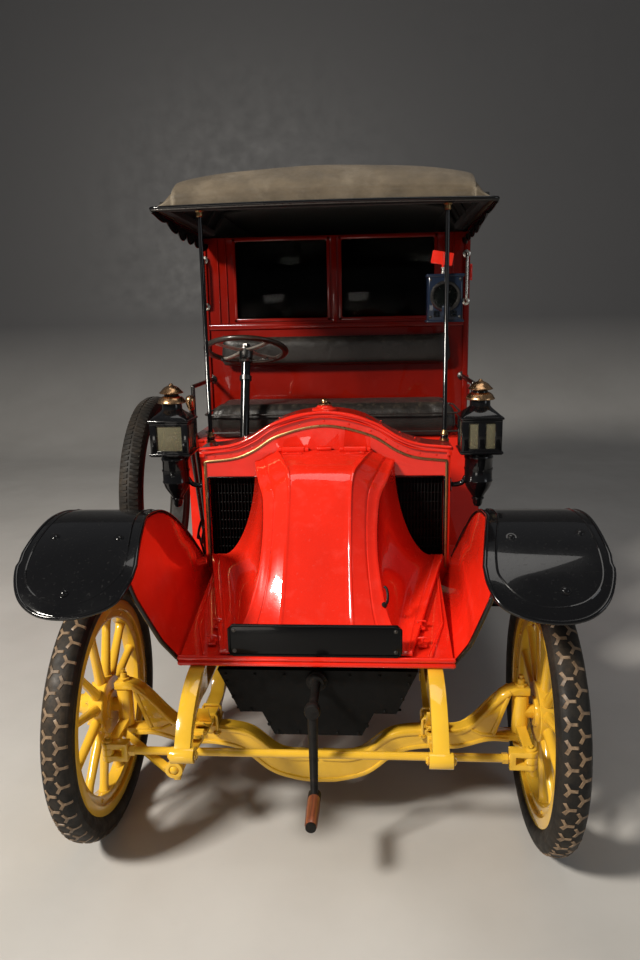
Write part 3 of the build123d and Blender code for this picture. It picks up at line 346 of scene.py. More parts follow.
def plate_glass(name, tint, clear, gleam):
    """Window glass with a film of dust and a faint wave."""
    pane = Finish(name)
    film = pane.band(pane.noise(9, 6, 0.7), 0.35, 0.8, 0.01, 0.05)
    return pane.shade(Base_Color=tint, Roughness=film, Transmission_Weight=clear, IOR=1.14,
                      Normal=pane.relief(pane.noise(3, 2, 0.4), 0.002, 0.15),
                      Specular_IOR_Level=gleam)


def woven_cloth(name, colour, rib):
    """Ribbed carriage cloth for the cab's inside and the floor mats."""
    cloth = Finish(name)
    ribs = cloth.waves(rib, 0.4, "X")
    tone = cloth.blend(cloth.band(cloth.noise(14, 6, 0.7), 0.35, 0.7), colour,
                       darker(colour, 0.6))
    tone = cloth.blend(cloth.sum("MULTIPLY", ribs, 0.35), tone, darker(colour, 0.35))
    return cloth.shade(Base_Color=tone, Roughness=0.85, Sheen_Weight=0.05, Sheen_Roughness=0.5,
                       Normal=cloth.relief(ribs, 0.0007, 0.6))


FINISHES = {}


def mix_finishes(colours):
    """Mixes every finish once, from the chosen colours."""
    red, yellow = tuple(colours.body), tuple(colours.running_gear)
    black, hide = tuple(colours.fenders), tuple(colours.leather)
    FINISHES.update(
        body=coach_enamel("coach_red", red, 0.5, 0.10),
        # Darkened copy of the red paint: painted shade for the bulkhead and its mouldings under the
        # canopy.
        shaded_body=coach_enamel("coach_red_painted_shade", darker(red, 0.26), 0.4, 0.1, 0.35),
        gear=coach_enamel("coach_yellow", yellow, 0.85, 0.22),
        black=coach_enamel("stove_black", black, 0.15, 0.012, 0.55),
        plate=coach_enamel("plate_black", darker(black, 0.8), 0.1, 0.02, 0.10),
        brass=worked_metal("old_brass", (0.56, 0.33, 0.17), (0.10, 0.05, 0.03), 0.27),
        strip=worked_metal("dull_brass", (0.36, 0.225, 0.10), (0.10, 0.06, 0.03), 0.36),
        steel=worked_metal("bright_steel", (0.72, 0.68, 0.61), (0.16, 0.13, 0.10), 0.26),
        satin=worked_metal("satin_steel", (0.78, 0.74, 0.66), (0.20, 0.16, 0.12), 0.50),
        dark_steel=worked_metal("dark_steel", (0.10, 0.095, 0.09), (0.03, 0.02, 0.015), 0.34),
        seat=tanned_leather("seat_leather", hide, 330, 0.30),
        hood=tanned_leather("hood_leather", darker(hide, 0.9), 420, 0.16),
        roof=coated_cloth("roof_cloth", tuple(colours.roof)),
        tyre=road_rubber("tyre_walls", 0.22),
        tread=road_rubber("tyre_tread", 0.30),
        # The tan on the tread marks is partly dust, partly a painted highlight.
        marks=dust_and_highlight_marks("tread_marks"),
        iron=rough_iron("oily_iron", (0.014, 0.013, 0.012), 0.3),
        grille=rough_iron("radiator_black", (0.004, 0.004, 0.004), 0.08),
        wheel_rim=varnished_wood("dark_rim", (0.030, 0.018, 0.011), (0.010, 0.007, 0.005), 90),
        grip=varnished_wood("crank_grip", (0.26, 0.075, 0.030), (0.10, 0.03, 0.015), 120),
        boards=varnished_wood("floor_boards", (0.10, 0.065, 0.035), (0.045, 0.028, 0.015), 26),
        # The dark grey tint is painted shade that keeps the window panes dark.
        glass=plate_glass("window_glass_painted_shade", (0.30, 0.32, 0.305), 1.0, 0.10),
        lamp_glass=plate_glass("lamp_glass", (0.34, 0.315, 0.21), 0.70, 0.35),
        mat=woven_cloth("rubber_mat", (0.020, 0.019, 0.018), 120),
        trim=woven_cloth("cab_trim", (0.055, 0.045, 0.036), 160),
        # Near-black lining: dark cloth, darkened further as painted shade under the canopy; also used
        # on the canopy bows.
        lining=woven_cloth("canopy_lining_painted_shade", (0.005, 0.0045, 0.004), 200),
        meter=coach_enamel("meter_blue", (0.008, 0.014, 0.029), 0.5, 0.2, 0.4),
        dial=coach_enamel("dial_enamel", (0.050, 0.056, 0.060), 0.1, 0.2),
        flag_red=coach_enamel("flag_red", darker(red, 0.8), 0.6, 0.25),
    )


# The finish that a CAD piece takes from its slot, and the slot of what each finish is put on.
SLOT_FINISH = {
    "chassis_paint": "gear", "wheel_paint": "gear", "cast_metal": "iron", "dark_iron": "iron",
    "black_enamel": "black", "body_red": "body", "radiator_black": "grille", "brass": "brass",
    "plate_black": "plate", "wheel_rim_dark": "wheel_rim", "seat_leather": "seat",
    "polished_steel": "steel", "roof_cloth": "roof", "hood_leather": "hood",
    "meter_black": "meter", "tyre_rubber": "tyre",
}
FINISH_SLOT = {finish: slot for slot, finish in SLOT_FINISH.items()}
FINISH_SLOT.update(
    gear="chassis_paint", iron="dark_iron", shaded_body="body_red", flag_red="body_red",
    boards="body_red", glass="body_red", strip="brass", satin="polished_steel",
    dark_steel="polished_steel", trim="seat_leather", tread="tyre_rubber", marks="tyre_rubber",
    mat="tyre_rubber", grip="dark_iron", lamp_glass="black_enamel", lining="black_enamel",
    dial="meter_black",
)


# ------------------------------------------------------------------ shapes
# Shapes are drawn in millimetres: x across, y behind the front axle, z above the ground.
ACROSS, BACK, AHEAD, UP, DOWN = (1, 0, 0), (0, 1, 0), (0, -1, 0), (0, 0, 1), (0, 0, -1)
SIDES = ((-1, "right"), (1, "left"))
WELD = 0.02 / 1000
SIDE_X = 618


def place(point):
    return (point[0] / 1000, AXLE_Y + point[1] / 1000, point[2] / 1000)


def turns(count):
    """Evenly spaced turns of one full round."""
    return [2 * math.pi * k / count for k in range(count)]


def both_sides(spots):
    """Places with the ways they face, and the same on the other side of the car."""
    return [((side * x, y, z), (side * across, back, up)) for side in (-1, 1)
            for (x, y, z), (across, back, up) in spots]


def smooth_run(points, count):
    """Evenly numbered places on a smooth line through the points."""
    points = [np.array(p, float) for p in points]
    ends = [2 * points[0] - points[1]] + points + [2 * points[-1] - points[-2]]
    result = []
    for step in range(count):
        where = step / (count - 1) * (len(points) - 1)
        start = min(int(where), len(points) - 2)
        t = where - start
        a, b, c, d = ends[start:start + 4]
        result.append(0.5 * (2 * b + (c - a) * t + (2 * a - 5 * b + 4 * c - d) * t * t
                             + (3 * b - a - 3 * c + d) * t ** 3))
    return result


def stand(name, data):
    """Puts a new object in the scene."""
    made = bpy.data.objects.new(name, data)
    bpy.context.scene.collection.objects.link(made)
    return made


def cleaned(mesh, weld, about=(0, 0, 0)):
    """Welds a mesh over a small distance, turns its faces outwards and moves it."""
    build = bmesh.new()
    build.from_mesh(mesh)
    if weld:
        bmesh.ops.remove_doubles(build, verts=build.verts, dist=weld)
    bmesh.ops.recalc_face_normals(build, faces=build.faces)
    bmesh.ops.translate(build, verts=build.verts, vec=Vector(about))
    build.to_mesh(mesh)
    build.free()
    return mesh


class Shape:
    """Collects the surfaces of one piece."""

    def __init__(self):
        self.points, self.faces = [], []

    def put(self, points, faces):
        start = len(self.points)
        self.points += [tuple(float(v) for v in p) for p in points]
        self.faces += [tuple(start + i for i in face) for face in faces]
        return self

    def grid(self, rows, wrap=False, turn=False):
        """A skin over rows of equal length."""
        wide = len(rows[0])
        points = [p for row in rows for p in row]
        faces = []
        for i in range(len(rows) - (0 if turn else 1)):
            for j in range(wide - (0 if wrap else 1)):
                k, n = (i + 1) % len(rows), (j + 1) % wide
                faces.append((i * wide + j, i * wide + n, k * wide + n, k * wide + j))
        return self.put(points, faces)

    def loft(self, rows):
        """A closed solid through closed rings."""
        self.grid(rows, wrap=True)
        start, wide = len(self.points) - len(rows) * len(rows[0]), len(rows[0])
        self.faces.append(tuple(start + i for i in range(wide)))
        self.faces.append(tuple(start + (len(rows) - 1) * wide + i for i in reversed(range(wide))))
        return self

    def pipe(self, path, radius, sides, closed=False, flat=1.0):
        """A bar along a path; its radius is one number or one for each point."""
        path = [np.array(p, float) for p in path]
        count = len(path)
        radii = [radius] * count if np.isscalar(radius) else list(radius)
        rows, side = [], None
        for i, here in enumerate(path):
            if closed:
                run = path[(i + 1) % count] - path[i - 1]
            else:
                run = path[min(i + 1, count - 1)] - path[max(i - 1, 0)]
            run = run / np.linalg.norm(run)
            if side is None:
                side = np.cross(run, UP if abs(run[2]) < 0.9 else ACROSS)
            side = side - run * side.dot(run)
            side = side / np.linalg.norm(side)
            up = np.cross(side, run)
            rows.append([here + radii[i] * (side * math.cos(t) + up * flat * math.sin(t))
                         for t in turns(sides)])
        if closed:
            return self.grid(rows, wrap=True, turn=True)
        return self.loft(rows)

    @staticmethod
    def swept(profile, centre, axis, steps):
        """One closed ring round the axis for each place and radius of the profile."""
        axis = Vector(axis).normalized()
        side = axis.orthogonal().normalized()
        up = axis.cross(side)
        return [[Vector(centre) + axis * float(along)
                 + float(radius) * (side * math.cos(t) + up * math.sin(t)) for t in turns(steps)]
                for along, radius in profile]

    def turned(self, profile, centre, axis=UP, steps=32):
        """A turned solid: profile gives places along the axis and radii from it."""
        profile = [(along, max(float(radius), 0.02)) for along, radius in profile]
        return self.loft(self.swept(profile, centre, axis, steps))

    def hoop(self, profile, centre, axis=ACROSS, steps=120):
        """A turned ring: the profile is closed and stays off the axis."""
        rows = self.swept(profile, centre, axis, steps)
        return self.grid(list(zip(*rows)), wrap=True, turn=True)

    def block(self, x0, x1, y0, y1, z0, z1, ease=3):
        """A bar or board with eased edges."""
        rows = []
        for z, draw in ((z0, ease), (z0 + ease * 0.3, ease * 0.3), (z0 + ease, 0),
                        (z1 - ease, 0), (z1 - ease * 0.3, ease * 0.3), (z1, ease)):
            rows.append(self.rounded_ring(x0 + draw, x1 - draw, y0 + draw, y1 - draw, ease, z))
        return self.loft(rows)

    @staticmethod
    def rounded_ring(x0, x1, y0, y1, radius, z, steps=3):
        ring = []
        for cx, cy, start in ((x1 - radius, y1 - radius, 0), (x0 + radius, y1 - radius, 1),
                              (x0 + radius, y0 + radius, 2), (x1 - radius, y0 + radius, 3)):
            for k in range(steps):
                turn = (start + k / (steps - 1)) * math.pi / 2
                ring.append((cx + radius * math.cos(turn), cy + radius * math.sin(turn), z))
        return ring

    def mirrored(self):
        """Adds the other side's copy."""
        count = len(self.points)
        self.points += [(-x, y, z) for x, y, z in self.points]
        self.faces += [tuple(count + i for i in reversed(face)) for face in list(self.faces)]
        return self

    def piece(self, name, finish, body="root", wall=0.0, crease=40, slot=None, replaces=()):
        """Makes the mesh, gives it a wall if asked, and hangs it on its body."""
        mesh = bpy.data.meshes.new(name)
        mesh.from_pydata([place(p) for p in self.points], [], self.faces)
        made = stand(name, cleaned(mesh, WELD))
        if wall:
            solid = made.modifiers.new("Wall", "SOLIDIFY")
            solid.thickness = wall / 1000
            solid.offset = 0
        return finished(made, finish, body, crease, replaces)


def settle(made):
    """Applies what the modifiers do, so the mesh stands by itself."""
    if made.modifiers:
        graph = bpy.context.evaluated_depsgraph_get()
        mesh = bpy.data.meshes.new_from_object(made.evaluated_get(graph))
        made.modifiers.clear()
        made.data = mesh
    return made


def finished(made, finish, body="root", crease=40, replaces=()):
    """Gives a piece its finish, its smooth faces and the body that carries it."""
    settle(made)
    made.data.materials.clear()
    made.data.materials.append(FINISHES[finish])
    made.data.polygons.foreach_set("use_smooth", [True] * len(made.data.polygons))
    made.data.set_sharp_from_angle(angle=math.radians(crease))
    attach(made, body)
    if replaces:
        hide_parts(*replaces)
    return made


def dress(node, finish=None, ease=0.0):
    """A smooth-shaded copy of a CAD piece in its own finish."""
    source = CAD_NODES[node]
    made = stand(node + "_finished", source.data.copy())
    build = bmesh.new()
    build.from_mesh(made.data)
    bmesh.ops.remove_doubles(build, verts=build.verts, dist=WELD)
    bmesh.ops.dissolve_limit(build, angle_limit=math.radians(0.6), verts=build.verts,
                             edges=build.edges)
    build.to_mesh(made.data)
    build.free()
    if ease:
        soft = made.modifiers.new("Eased edges", "BEVEL")
        soft.width, soft.segments = ease / 1000, 2
        soft.limit_method, soft.angle_limit = "ANGLE", math.radians(38)
    return finished(made, finish or SLOT_FINISH[SLOTS[node]], source["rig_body"], 35,
                    (node,))


# ------------------------------------------------------------------ what repeats
def new_tree(name, sizes):
    tree = bpy.data.node_groups.new(name, "GeometryNodeTree")
    tree.interface.new_socket("Geometry", in_out="INPUT", socket_type="NodeSocketGeometry")
    for label, kind in sizes:
        tree.interface.new_socket(label, in_out="INPUT", socket_type="NodeSocket" + kind)
    tree.interface.new_socket("Material", in_out="INPUT", socket_type="NodeSocketMaterial")
    tree.interface.new_socket("Geometry", in_out="OUTPUT", socket_type="NodeSocketGeometry")
    return tree, tree.nodes.new("NodeGroupInput"), tree.nodes.new("NodeGroupOutput")


def wire(tree, *links):
    """Joins nodes: each link names a node, its output, the next node and its input."""
    for giver, out, taker, into in links:
        tree.links.new(giver.outputs[out], taker.inputs[into])


def close_tree(tree, given, result, instances):
    real = tree.nodes.new("GeometryNodeRealizeInstances")
    paint = tree.nodes.new("GeometryNodeSetMaterial")
    wire(tree, (instances, 0, real, 0), (real, 0, paint, "Geometry"),
         (given, "Material", paint, "Material"), (paint, 0, result, "Geometry"))
    return tree


def maths(tree, way, second=None):
    node = tree.nodes.new("ShaderNodeMath")
    node.operation = way
    if second is not None:
        node.inputs[1].default_value = second
    return node


def round_tree():
    """Copies a piece round an axis: spokes, tread marks, bolts on a circle."""
    tree, given, result = new_tree("Round an axis", [
        ("Count", "Int"), ("Centre", "Vector"), ("Axis", "Vector"), ("Start", "Float")])
    points = tree.nodes.new("GeometryNodePoints")
    put = tree.nodes.new("GeometryNodeInstanceOnPoints")
    index = tree.nodes.new("GeometryNodeInputIndex")
    spin = tree.nodes.new("FunctionNodeAxisAngleToRotation")
    share, begin = maths(tree, "DIVIDE"), maths(tree, "ADD")
    turn = maths(tree, "MULTIPLY", 2 * math.pi)
    wire(tree, (given, "Count", points, "Count"), (given, "Centre", points, "Position"),
         (index, 0, share, 0), (given, "Count", share, 1), (share, 0, turn, 0),
         (turn, 0, begin, 0), (given, "Start", begin, 1), (given, "Axis", spin, "Axis"),
         (begin, 0, spin, "Angle"), (points, 0, put, "Points"),
         (given, "Geometry", put, "Instance"), (spin, 0, put, "Rotation"))
    return close_tree(tree, given, result, put)


def row_tree():
    """Copies a piece along a straight row: fins, tubes and ribs."""
    tree, given, result = new_tree("Along a row", [("Count", "Int"), ("Step", "Vector")])
    points = tree.nodes.new("GeometryNodePoints")
    put = tree.nodes.new("GeometryNodeInstanceOnPoints")
    index = tree.nodes.new("GeometryNodeInputIndex")
    stride = tree.nodes.new("ShaderNodeVectorMath")
    stride.operation = "SCALE"
    wire(tree, (given, "Count", points, "Count"), (given, "Step", stride, 0),
         (index, 0, stride, "Scale"), (stride, "Vector", points, "Position"),
         (points, 0, put, "Points"), (given, "Geometry", put, "Instance"))
    return close_tree(tree, given, result, put)


def heads_tree():
    """Stands a fastener on every point, facing the way that the point says."""
    tree, given, result = new_tree("Fasteners", [
        ("Radius", "Float"), ("Height", "Float"), ("Sides", "Int"), ("Dome", "Bool")])
    head = dome_or_nut(tree, given)
    washer, both = (tree.nodes.new("GeometryNodeMeshCylinder"),
                    tree.nodes.new("GeometryNodeJoinGeometry"))
    washer.inputs["Vertices"].default_value = 16
    wide, thin = maths(tree, "MULTIPLY", 1.35), maths(tree, "MULTIPLY", 0.35)
    wire(tree, (given, "Radius", wide, 0), (wide, 0, washer, "Radius"),
         (given, "Height", thin, 0), (thin, 0, washer, "Depth"), (washer, "Mesh", both, 0),
         (head, 0, both, 0))
    facing = tree.nodes.new("GeometryNodeInputNamedAttribute")
    align = tree.nodes.new("FunctionNodeAlignRotationToVector")
    facing.data_type, align.axis = "FLOAT_VECTOR", "Z"
    facing.inputs["Name"].default_value = "facing"
    put = tree.nodes.new("GeometryNodeInstanceOnPoints")
    wire(tree, (facing, "Attribute", align, "Vector"), (given, "Geometry", put, "Points"),
         (both, 0, put, "Instance"), (align, 0, put, "Rotation"))
    return close_tree(tree, given, result, put)


def dome_or_nut(tree, given):
    nut, ball, flat = (tree.nodes.new("GeometryNodeMeshCylinder"),
                       tree.nodes.new("GeometryNodeMeshUVSphere"),
                       tree.nodes.new("GeometryNodeTransform"))
    ball.inputs["Segments"].default_value, ball.inputs["Rings"].default_value = 14, 8
    flat.inputs["Scale"].default_value = (1, 1, 0.62)
    pick = tree.nodes.new("GeometryNodeSwitch")
    pick.input_type = "GEOMETRY"
    wire(tree, (given, "Radius", nut, "Radius"), (given, "Height", nut, "Depth"),
         (given, "Sides", nut, "Vertices"), (given, "Radius", ball, "Radius"),
         (ball, "Mesh", flat, "Geometry"), (given, "Dome", pick, "Switch"),
         (nut, "Mesh", pick, "False"), (flat, "Geometry", pick, "True"))
    return pick


TREES = {}


def repeated(made, tree, finish, **sizes):
    """Runs a tree on a piece and keeps the result as a plain mesh."""
    if tree not in TREES:
        TREES[tree] = {"round": round_tree, "row": row_tree, "heads": heads_tree}[tree]()
    step = made.modifiers.new("Repeat", "NODES")
    step.node_group = TREES[tree]
    sizes["Material"] = FINISHES[finish]
    for item in TREES[tree].interface.items_tree:
        if item.item_type == "SOCKET" and item.in_out == "INPUT" and item.name in sizes:
            step[item.identifier] = sizes[item.name]
    return settle(made)


def loose(shape, name, about=(0, 0, 0)):
    """A shape's mesh in metres about a point, before it is repeated."""
    mesh = bpy.data.meshes.new(name)
    mesh.from_pydata([tuple(c / 1000 for c in p) for p in shape.points], [], shape.faces)
    return stand(name, cleaned(mesh, WELD, about))


def around(shape, name, finish, count, centre, axis, body, start=0.0, crease=40):
    made = repeated(loose(shape, name), "round", finish, Count=count, Centre=tuple(centre),
                    Axis=tuple(axis), Start=start)
    return finished(made, finish, body, crease)


def in_row(shape, name, finish, count, step):
    made = repeated(loose(shape, name, (0, AXLE_Y, 0)), "row", finish, Count=count,
                    Step=tuple(s / 1000 for s in step))
    return finished(made, finish)


def fasteners(name, spots, finish, radius, height, body="root", dome=True):
    """Round or hexagonal heads; each spot is a place and the way it faces."""
    mesh = bpy.data.meshes.new(name)
    mesh.from_pydata([place(spot) for spot, _ in spots], [], [])
    facing = mesh.attributes.new("facing", "FLOAT_VECTOR", "POINT")
    for index, (_, way) in enumerate(spots):
        facing.data[index].vector = Vector(way).normalized()
    made = repeated(stand(name, mesh), "heads", finish, Radius=radius, Height=height, Sides=6,
                    Dome=dome)
    return finished(made, finish, body)


# ------------------------------------------------------------------ tyres and wheels
TYRE_RADIUS = 405
MARK_REACH, MARK_HALF = 19.5, 4.2
TYRE_CROWN = ((0, 14, 24, 31.5, 37), (402.3, 401.3, 398.8, 394.3, 388.3))
TYRE_WALL = [(27, 321), (28, 331), (33, 334), (37.5, 338), (41, 344), (44.5, 352), (45, 360),
             (44, 368), (44.6, 370), (44.6, 373), (43, 375), (40.5, 382), (37, 388.3),
             (31.5, 394.3), (24, 398.8), (14, 401.3), (0, 402.3)]
TYRE_RING = TYRE_WALL + [(-x, r) for x, r in reversed(TYRE_WALL[:-1])]
HUB = [(-30, 0), (-30, 44), (-28, 46), (-24, 47), (-24, 89), (-21, 92), (18, 92), (22, 90),
       (24, 86), (24, 53), (28, 47), (58, 41), (62, 40), (65, 36), (66, 32), (80, 30), (84, 28),
       (86, 24), (86.5, 0)]
RIM = [(-34, 302), (-31, 300), (-24, 301.5), (24, 301.5), (31, 300), (34, 302), (34, 329),
       (32.5, 332), (30.5, 332), (29, 329), (29, 320), (-29, 320), (-29, 329), (-30.5, 332),
       (-32.5, 332), (-34, 329)]
FELLOE = [(-22, 277), (-20, 273), (-16, 272), (16, 272), (20, 273), (22, 277), (22, 303), (-22, 303)]
SPOKE = [(76, 19, 22.5), (92, 17.5, 19), (118, 16, 15), (160, 15.5, 13), (215, 14.5, 12),
         (250, 14.5, 12.5), (266, 16, 14.5), (275, 18, 19)]
DRUM = [(-125, 58), (-125, 137), (-122, 140), (-104, 140), (-102, 143), (-96, 143), (-94, 140),
        (-52, 140), (-50, 143), (-44, 143), (-42, 140), (-27, 140), (-24, 137), (-24, 58)]
HUB_BOLT = [(22, 0), (22, 9), (29, 9), (30.5, 7.5), (30.5, 4.6), (36, 4.6), (37, 3.6), (37, 0)]
RIM_BOLT = [(21, 6), (24, 5.6), (26.4, 3.6), (27, 0)]
VALVE_STEM = [(0, 5.5), (3, 5.5), (3, 3.6), (22, 3.4), (22, 4.6), (34, 4.4), (36, 2.5), (36, 0)]
VALVE_TURN = {-1: 2.2, 1: 0.9}


def spot(place_m):
    """A place of the frame, in metres, told in the car's own millimetres."""
    return (place_m[0] * 1000, (place_m[1] - AXLE_Y) * 1000, place_m[2] * 1000)


def crown(x):
    """The radius of the tread at a place across it."""
    return np.interp(abs(x), *TYRE_CROWN)


def on_tread(x, run, lift):
    """A point on the tread: across it, along it from the top, and above it."""
    radius = crown(x) + lift
    return (x, radius * math.sin(run / TYRE_RADIUS), radius * math.cos(run / TYRE_RADIUS))


def star_mark(shape, x, run):
    """A raised mark with three arms, one of them across the tread."""
    reach, half, outline = MARK_REACH, MARK_HALF, []
    for turn in turns(3):
        ahead, aside = (math.cos(turn), math.sin(turn)), (-math.sin(turn), math.cos(turn))
        outline += [(reach * ahead[0] + way * half * aside[0],
                     reach * ahead[1] + way * half * aside[1]) for way in (-1, 1)]
        corner = turn + math.pi / 3
        outline.append((1.15 * half * math.cos(corner), 1.15 * half * math.sin(corner)))
    rows = [[on_tread(x + spread * a, run + spread * b, lift) for a, b in outline]
            for lift, spread in ((-2.5, 1.10), (1.0, 1.06), (2.4, 0.92))]
    return shape.loft(rows)


def road_tyre(node, body, marks):
    centre = middle(node)
    wall = Shape().hoop(TYRE_RING, spot(centre))
    wall.piece(node + "_walls", "tyre", body, replaces=(node,))
    band = [(x, crown(x) + 0.35) for x in range(-36, 37, 6)]
    band += [(x, crown(x) - 3) for x in range(34, -35, -12)]
    Shape().hoop(band, spot(centre)).piece(node + "_tread", "tread", body)
    pitch = 2 * math.pi * TYRE_RADIUS / (marks // 2)
    mark = star_mark(Shape(), -18, 0)
    star_mark(mark, 17, pitch / 2)
    around(mark, node + "_marks", "marks", marks // 2, centre, ACROSS, body)


def spare_wheel_tyre(marks):
    centre = middle("spare_tyre")
    wall = Shape().hoop([(x, r - 1.5) for x, r in TYRE_RING], spot(centre))
    wall.piece("spare_tyre_walls", "tyre", replaces=("spare_tyre",))
    block = Shape()
    outline = [(4, -6), (20, -9), (37, -5), (37, 7), (20, 5), (4, 8)]
    for side, shift in ((-1, 0), (1, 12)):
        block.loft([[on_tread(side * (21 + spread * (x - 21)), shift + spread * run, lift)
                     for x, run in outline]
                    for lift, spread in ((-4, 1.05), (0.6, 1.0), (1.8, 0.9))])
    around(block, "spare_tyre_blocks", "tyre", marks + 22, centre, ACROSS, "root")
    strap, (x, y, z) = Shape(), spot(centre)
    for lean in (-0.62, 0.62):
        path = []
        for turn in turns(24):
            radius = 363 + 46 * math.cos(turn)
            path.append((x + 50 * math.sin(turn), y + radius * math.sin(lean),
                         z - radius * math.cos(lean)))
        strap.pipe(path, 3, 8, closed=True)
    strap.piece("spare_tyre_straps", "dark_steel")


def spoked_wheel(name, side, spokes):
    node, centre, axis = "wheel_" + name, WHEELS[name], (side, 0, 0)
    wheel = Shape().turned(HUB, spot(centre), axis, 48)
    for ring in (RIM, FELLOE):
        wheel.hoop([(side * x, r) for x, r in ring], spot(centre))
    wheel.piece(node + "_rim_and_hub", "gear", node, slot="wheel_paint", replaces=(node,))
    spoke = Shape().loft([[(a * math.cos(t), b * math.sin(t), r) for t in turns(12)]
                          for r, a, b in SPOKE])
    around(spoke, node + "_spokes", "gear", spokes, centre, ACROSS, node, math.pi / spokes, 50)
    small = Shape().turned(HUB_BOLT, (0, 0, 71), axis, 6)
    for way in (side, -side):
        small.turned(RIM_BOLT, (0, 0, 288), (way, 0, 0), 10)
    around(small, node + "_bolts", "gear", spokes, centre, ACROSS, node)
    out = np.array((0, math.cos(VALVE_TURN[side]), math.sin(VALVE_TURN[side])))
    valve = Shape().turned(VALVE_STEM, spot(centre) + 300 * out, -out, 14)
    valve.turned([(86, 15), (91, 15), (93, 12), (93, 0)], spot(centre), axis, 6)
    valve.piece(node + "_valve_and_cap", "brass", node)
    if name.startswith("rear"):
        drum = Shape().hoop([(side * x, r) for x, r in DRUM], spot(centre), steps=72)
        drum.piece(node + "_drum", "iron", node, slot="cast_metal")


# ------------------------------------------------------------------ axles, springs, steering
BEAM_TOP = [(-122, 256), (0, 250), (122, 256), (228, 331), (350, 347), (451, 356), (546, 450),
            (588, 487)]
BEAM_FOOT = [(0, 158), (65, 163), (152, 191), (243, 262), (328, 284), (428, 286), (520, 312),
             (586, 312)]
EASED_EDGES = {"front_axle": 2, "knuckle_right": 2, "knuckle_left": 2, "tie_rod": 2,
               "drag_link": 1, "drop_arm": 2, "chassis_frame": 1.5, "leaf_springs": 1,
               "rear_axle": 0, "engine": 4, "silencer": 0}
KINGPIN_X, FRONT_SPRING_X, REAR_SPRING_X = 622, 350, 450
TRAY_SEAM = ((278, 520), (258, 470), (205, 428), (150, 380), (124, 353), (60, 353), (100, 545),
             (190, 545), (280, 545))


def running_gear():
    for node, ease in EASED_EDGES.items():
        dress(node, ease=ease)
    dress("undertray", "grille")
    front_axle_flanges()
    spring_clips()
    frame_fasteners()
    for side, name in SIDES:
        kingpin_ends(side, name)
    rod_ends()
    undertray_trim()
    engine_and_rear_trim()


def front_axle_flanges():
    """Raised strips along both edges of the beam and round its forked ends."""
    flanges = Shape()
    for face in (-25, 25):
        flanges.pipe([(x, face, z - 8) for x, z in smooth_run(BEAM_TOP, 60) if x >= 0], 6, 8,
                     flat=1.2)
        flanges.pipe([(x, face, z + 8) for x, z in smooth_run(BEAM_FOOT, 60)], 6, 8, flat=1.2)
        flanges.pipe([(580, face, 462), (560, face, 402), (536, face, 342)], 6, 8, flat=1.2)
        flanges.pipe([(470, face, 352), (500, face, 338), (536, face, 336)], 5, 8)
    flanges.mirrored().piece("front_axle_flanges", "gear")


def u_bolt(shape, x, half, y, foot, seat):
    """Over a spring and down both of its sides."""
    shape.pipe([(x - half, y, foot), (x - half, y, seat), (x - half + 4, y, seat + 7),
                (x + half - 4, y, seat + 7), (x + half, y, seat), (x + half, y, foot)], 5, 8)


def spring_clips():
    front, rear = Shape(), Shape()
    for leg in (-31, 31):
        u_bolt(front, FRONT_SPRING_X, 28, leg, 316, 384)
    for station, low, high in ((-190, 404, 432), (210, 396, 426), (330, 412, 440)):
        front.block(324, 376, station - 9, station + 9, low, high, 2)
    front.mirrored().piece("front_spring_clips", "gear")
    for station in (2320, 2420, 2780, 2880):
        leaf = 508 - 40 * (1 - abs(station - 2600) / 380)
        rear.block(425, 475, station - 9, station + 9, leaf - 46, leaf + 4, 2)
    for leg in (2564, 2636):
        u_bolt(rear, REAR_SPRING_X, 26, leg, 356, 488)
    rear.mirrored().piece("rear_spring_clips", "iron")


def frame_fasteners():
    spots = both_sides([((x, leg, 330), DOWN) for x in (322, 378) for leg in (-31, 31)])
    for side in (-1, 1):
        for y, z, half in ((-335, 442, 36), (440, 448, 18)):
            spots += [((side * (FRONT_SPRING_X + out), y, z), (out, 0, 0))
                      for out in (-half, half)]
    fasteners("spring_nuts", spots, "gear", 0.0095, 0.010, dome=False)
    rivets = both_sides([((373, y, z), ACROSS) for y in range(-60, 2990, 150)
                         for z in (536, 584)])
    fasteners("frame_rivets", rivets, "gear", 0.007, 0.004)


def kingpin_ends(side, name):
    """The nut and cap of one kingpin, and the pin of the tie rod beside it."""
    x = side * KINGPIN_X
    cup = Shape().turned([(0, 19), (8, 19), (9, 17), (9, 11), (19, 11), (20, 9), (20, 5), (27, 5),
                          (28, 8), (34, 8), (36, 6), (37, 0)], (x, 0, 490), steps=6)
    cup.turned([(0, 18), (8, 18), (10, 12), (16, 11), (17, 0)], (x, 0, 298), DOWN, 24)
    cup.piece("kingpin_cup_" + name, "gear")
    pin = Shape().turned([(0, 15), (6, 15), (8, 12), (8, 6), (14, 6), (15, 0)], (x, -172, 378),
                         steps=20)
    pin.turned([(0, 13), (9, 13), (10, 6), (14, 5), (15, 0)], (x, -172, 322), DOWN, 6)
    pin.piece("tie_rod_pin_" + name, "gear", "tie_rod")


def rod_ends():
    locknuts = Shape()
    for x in (-548, 548):
        locknuts.turned([(-9, 12), (-8, 16), (8, 16), (9, 12)], (x, -172, 350), ACROSS, 6)
    locknuts.piece("tie_rod_locknuts", "gear", "tie_rod")
    joint = Shape().turned([(-12, 8), (-11, 19), (-6, 22), (6, 22), (11, 19), (12, 8)],
                           (-420, -174, 303), BACK, 28)
    joint.turned([(0, 10), (12, 10), (16, 7), (22, 3), (23, 0)], (-420, -170, 303), AHEAD, 20)
    joint.piece("drag_link_end", "gear", "knuckle_right")


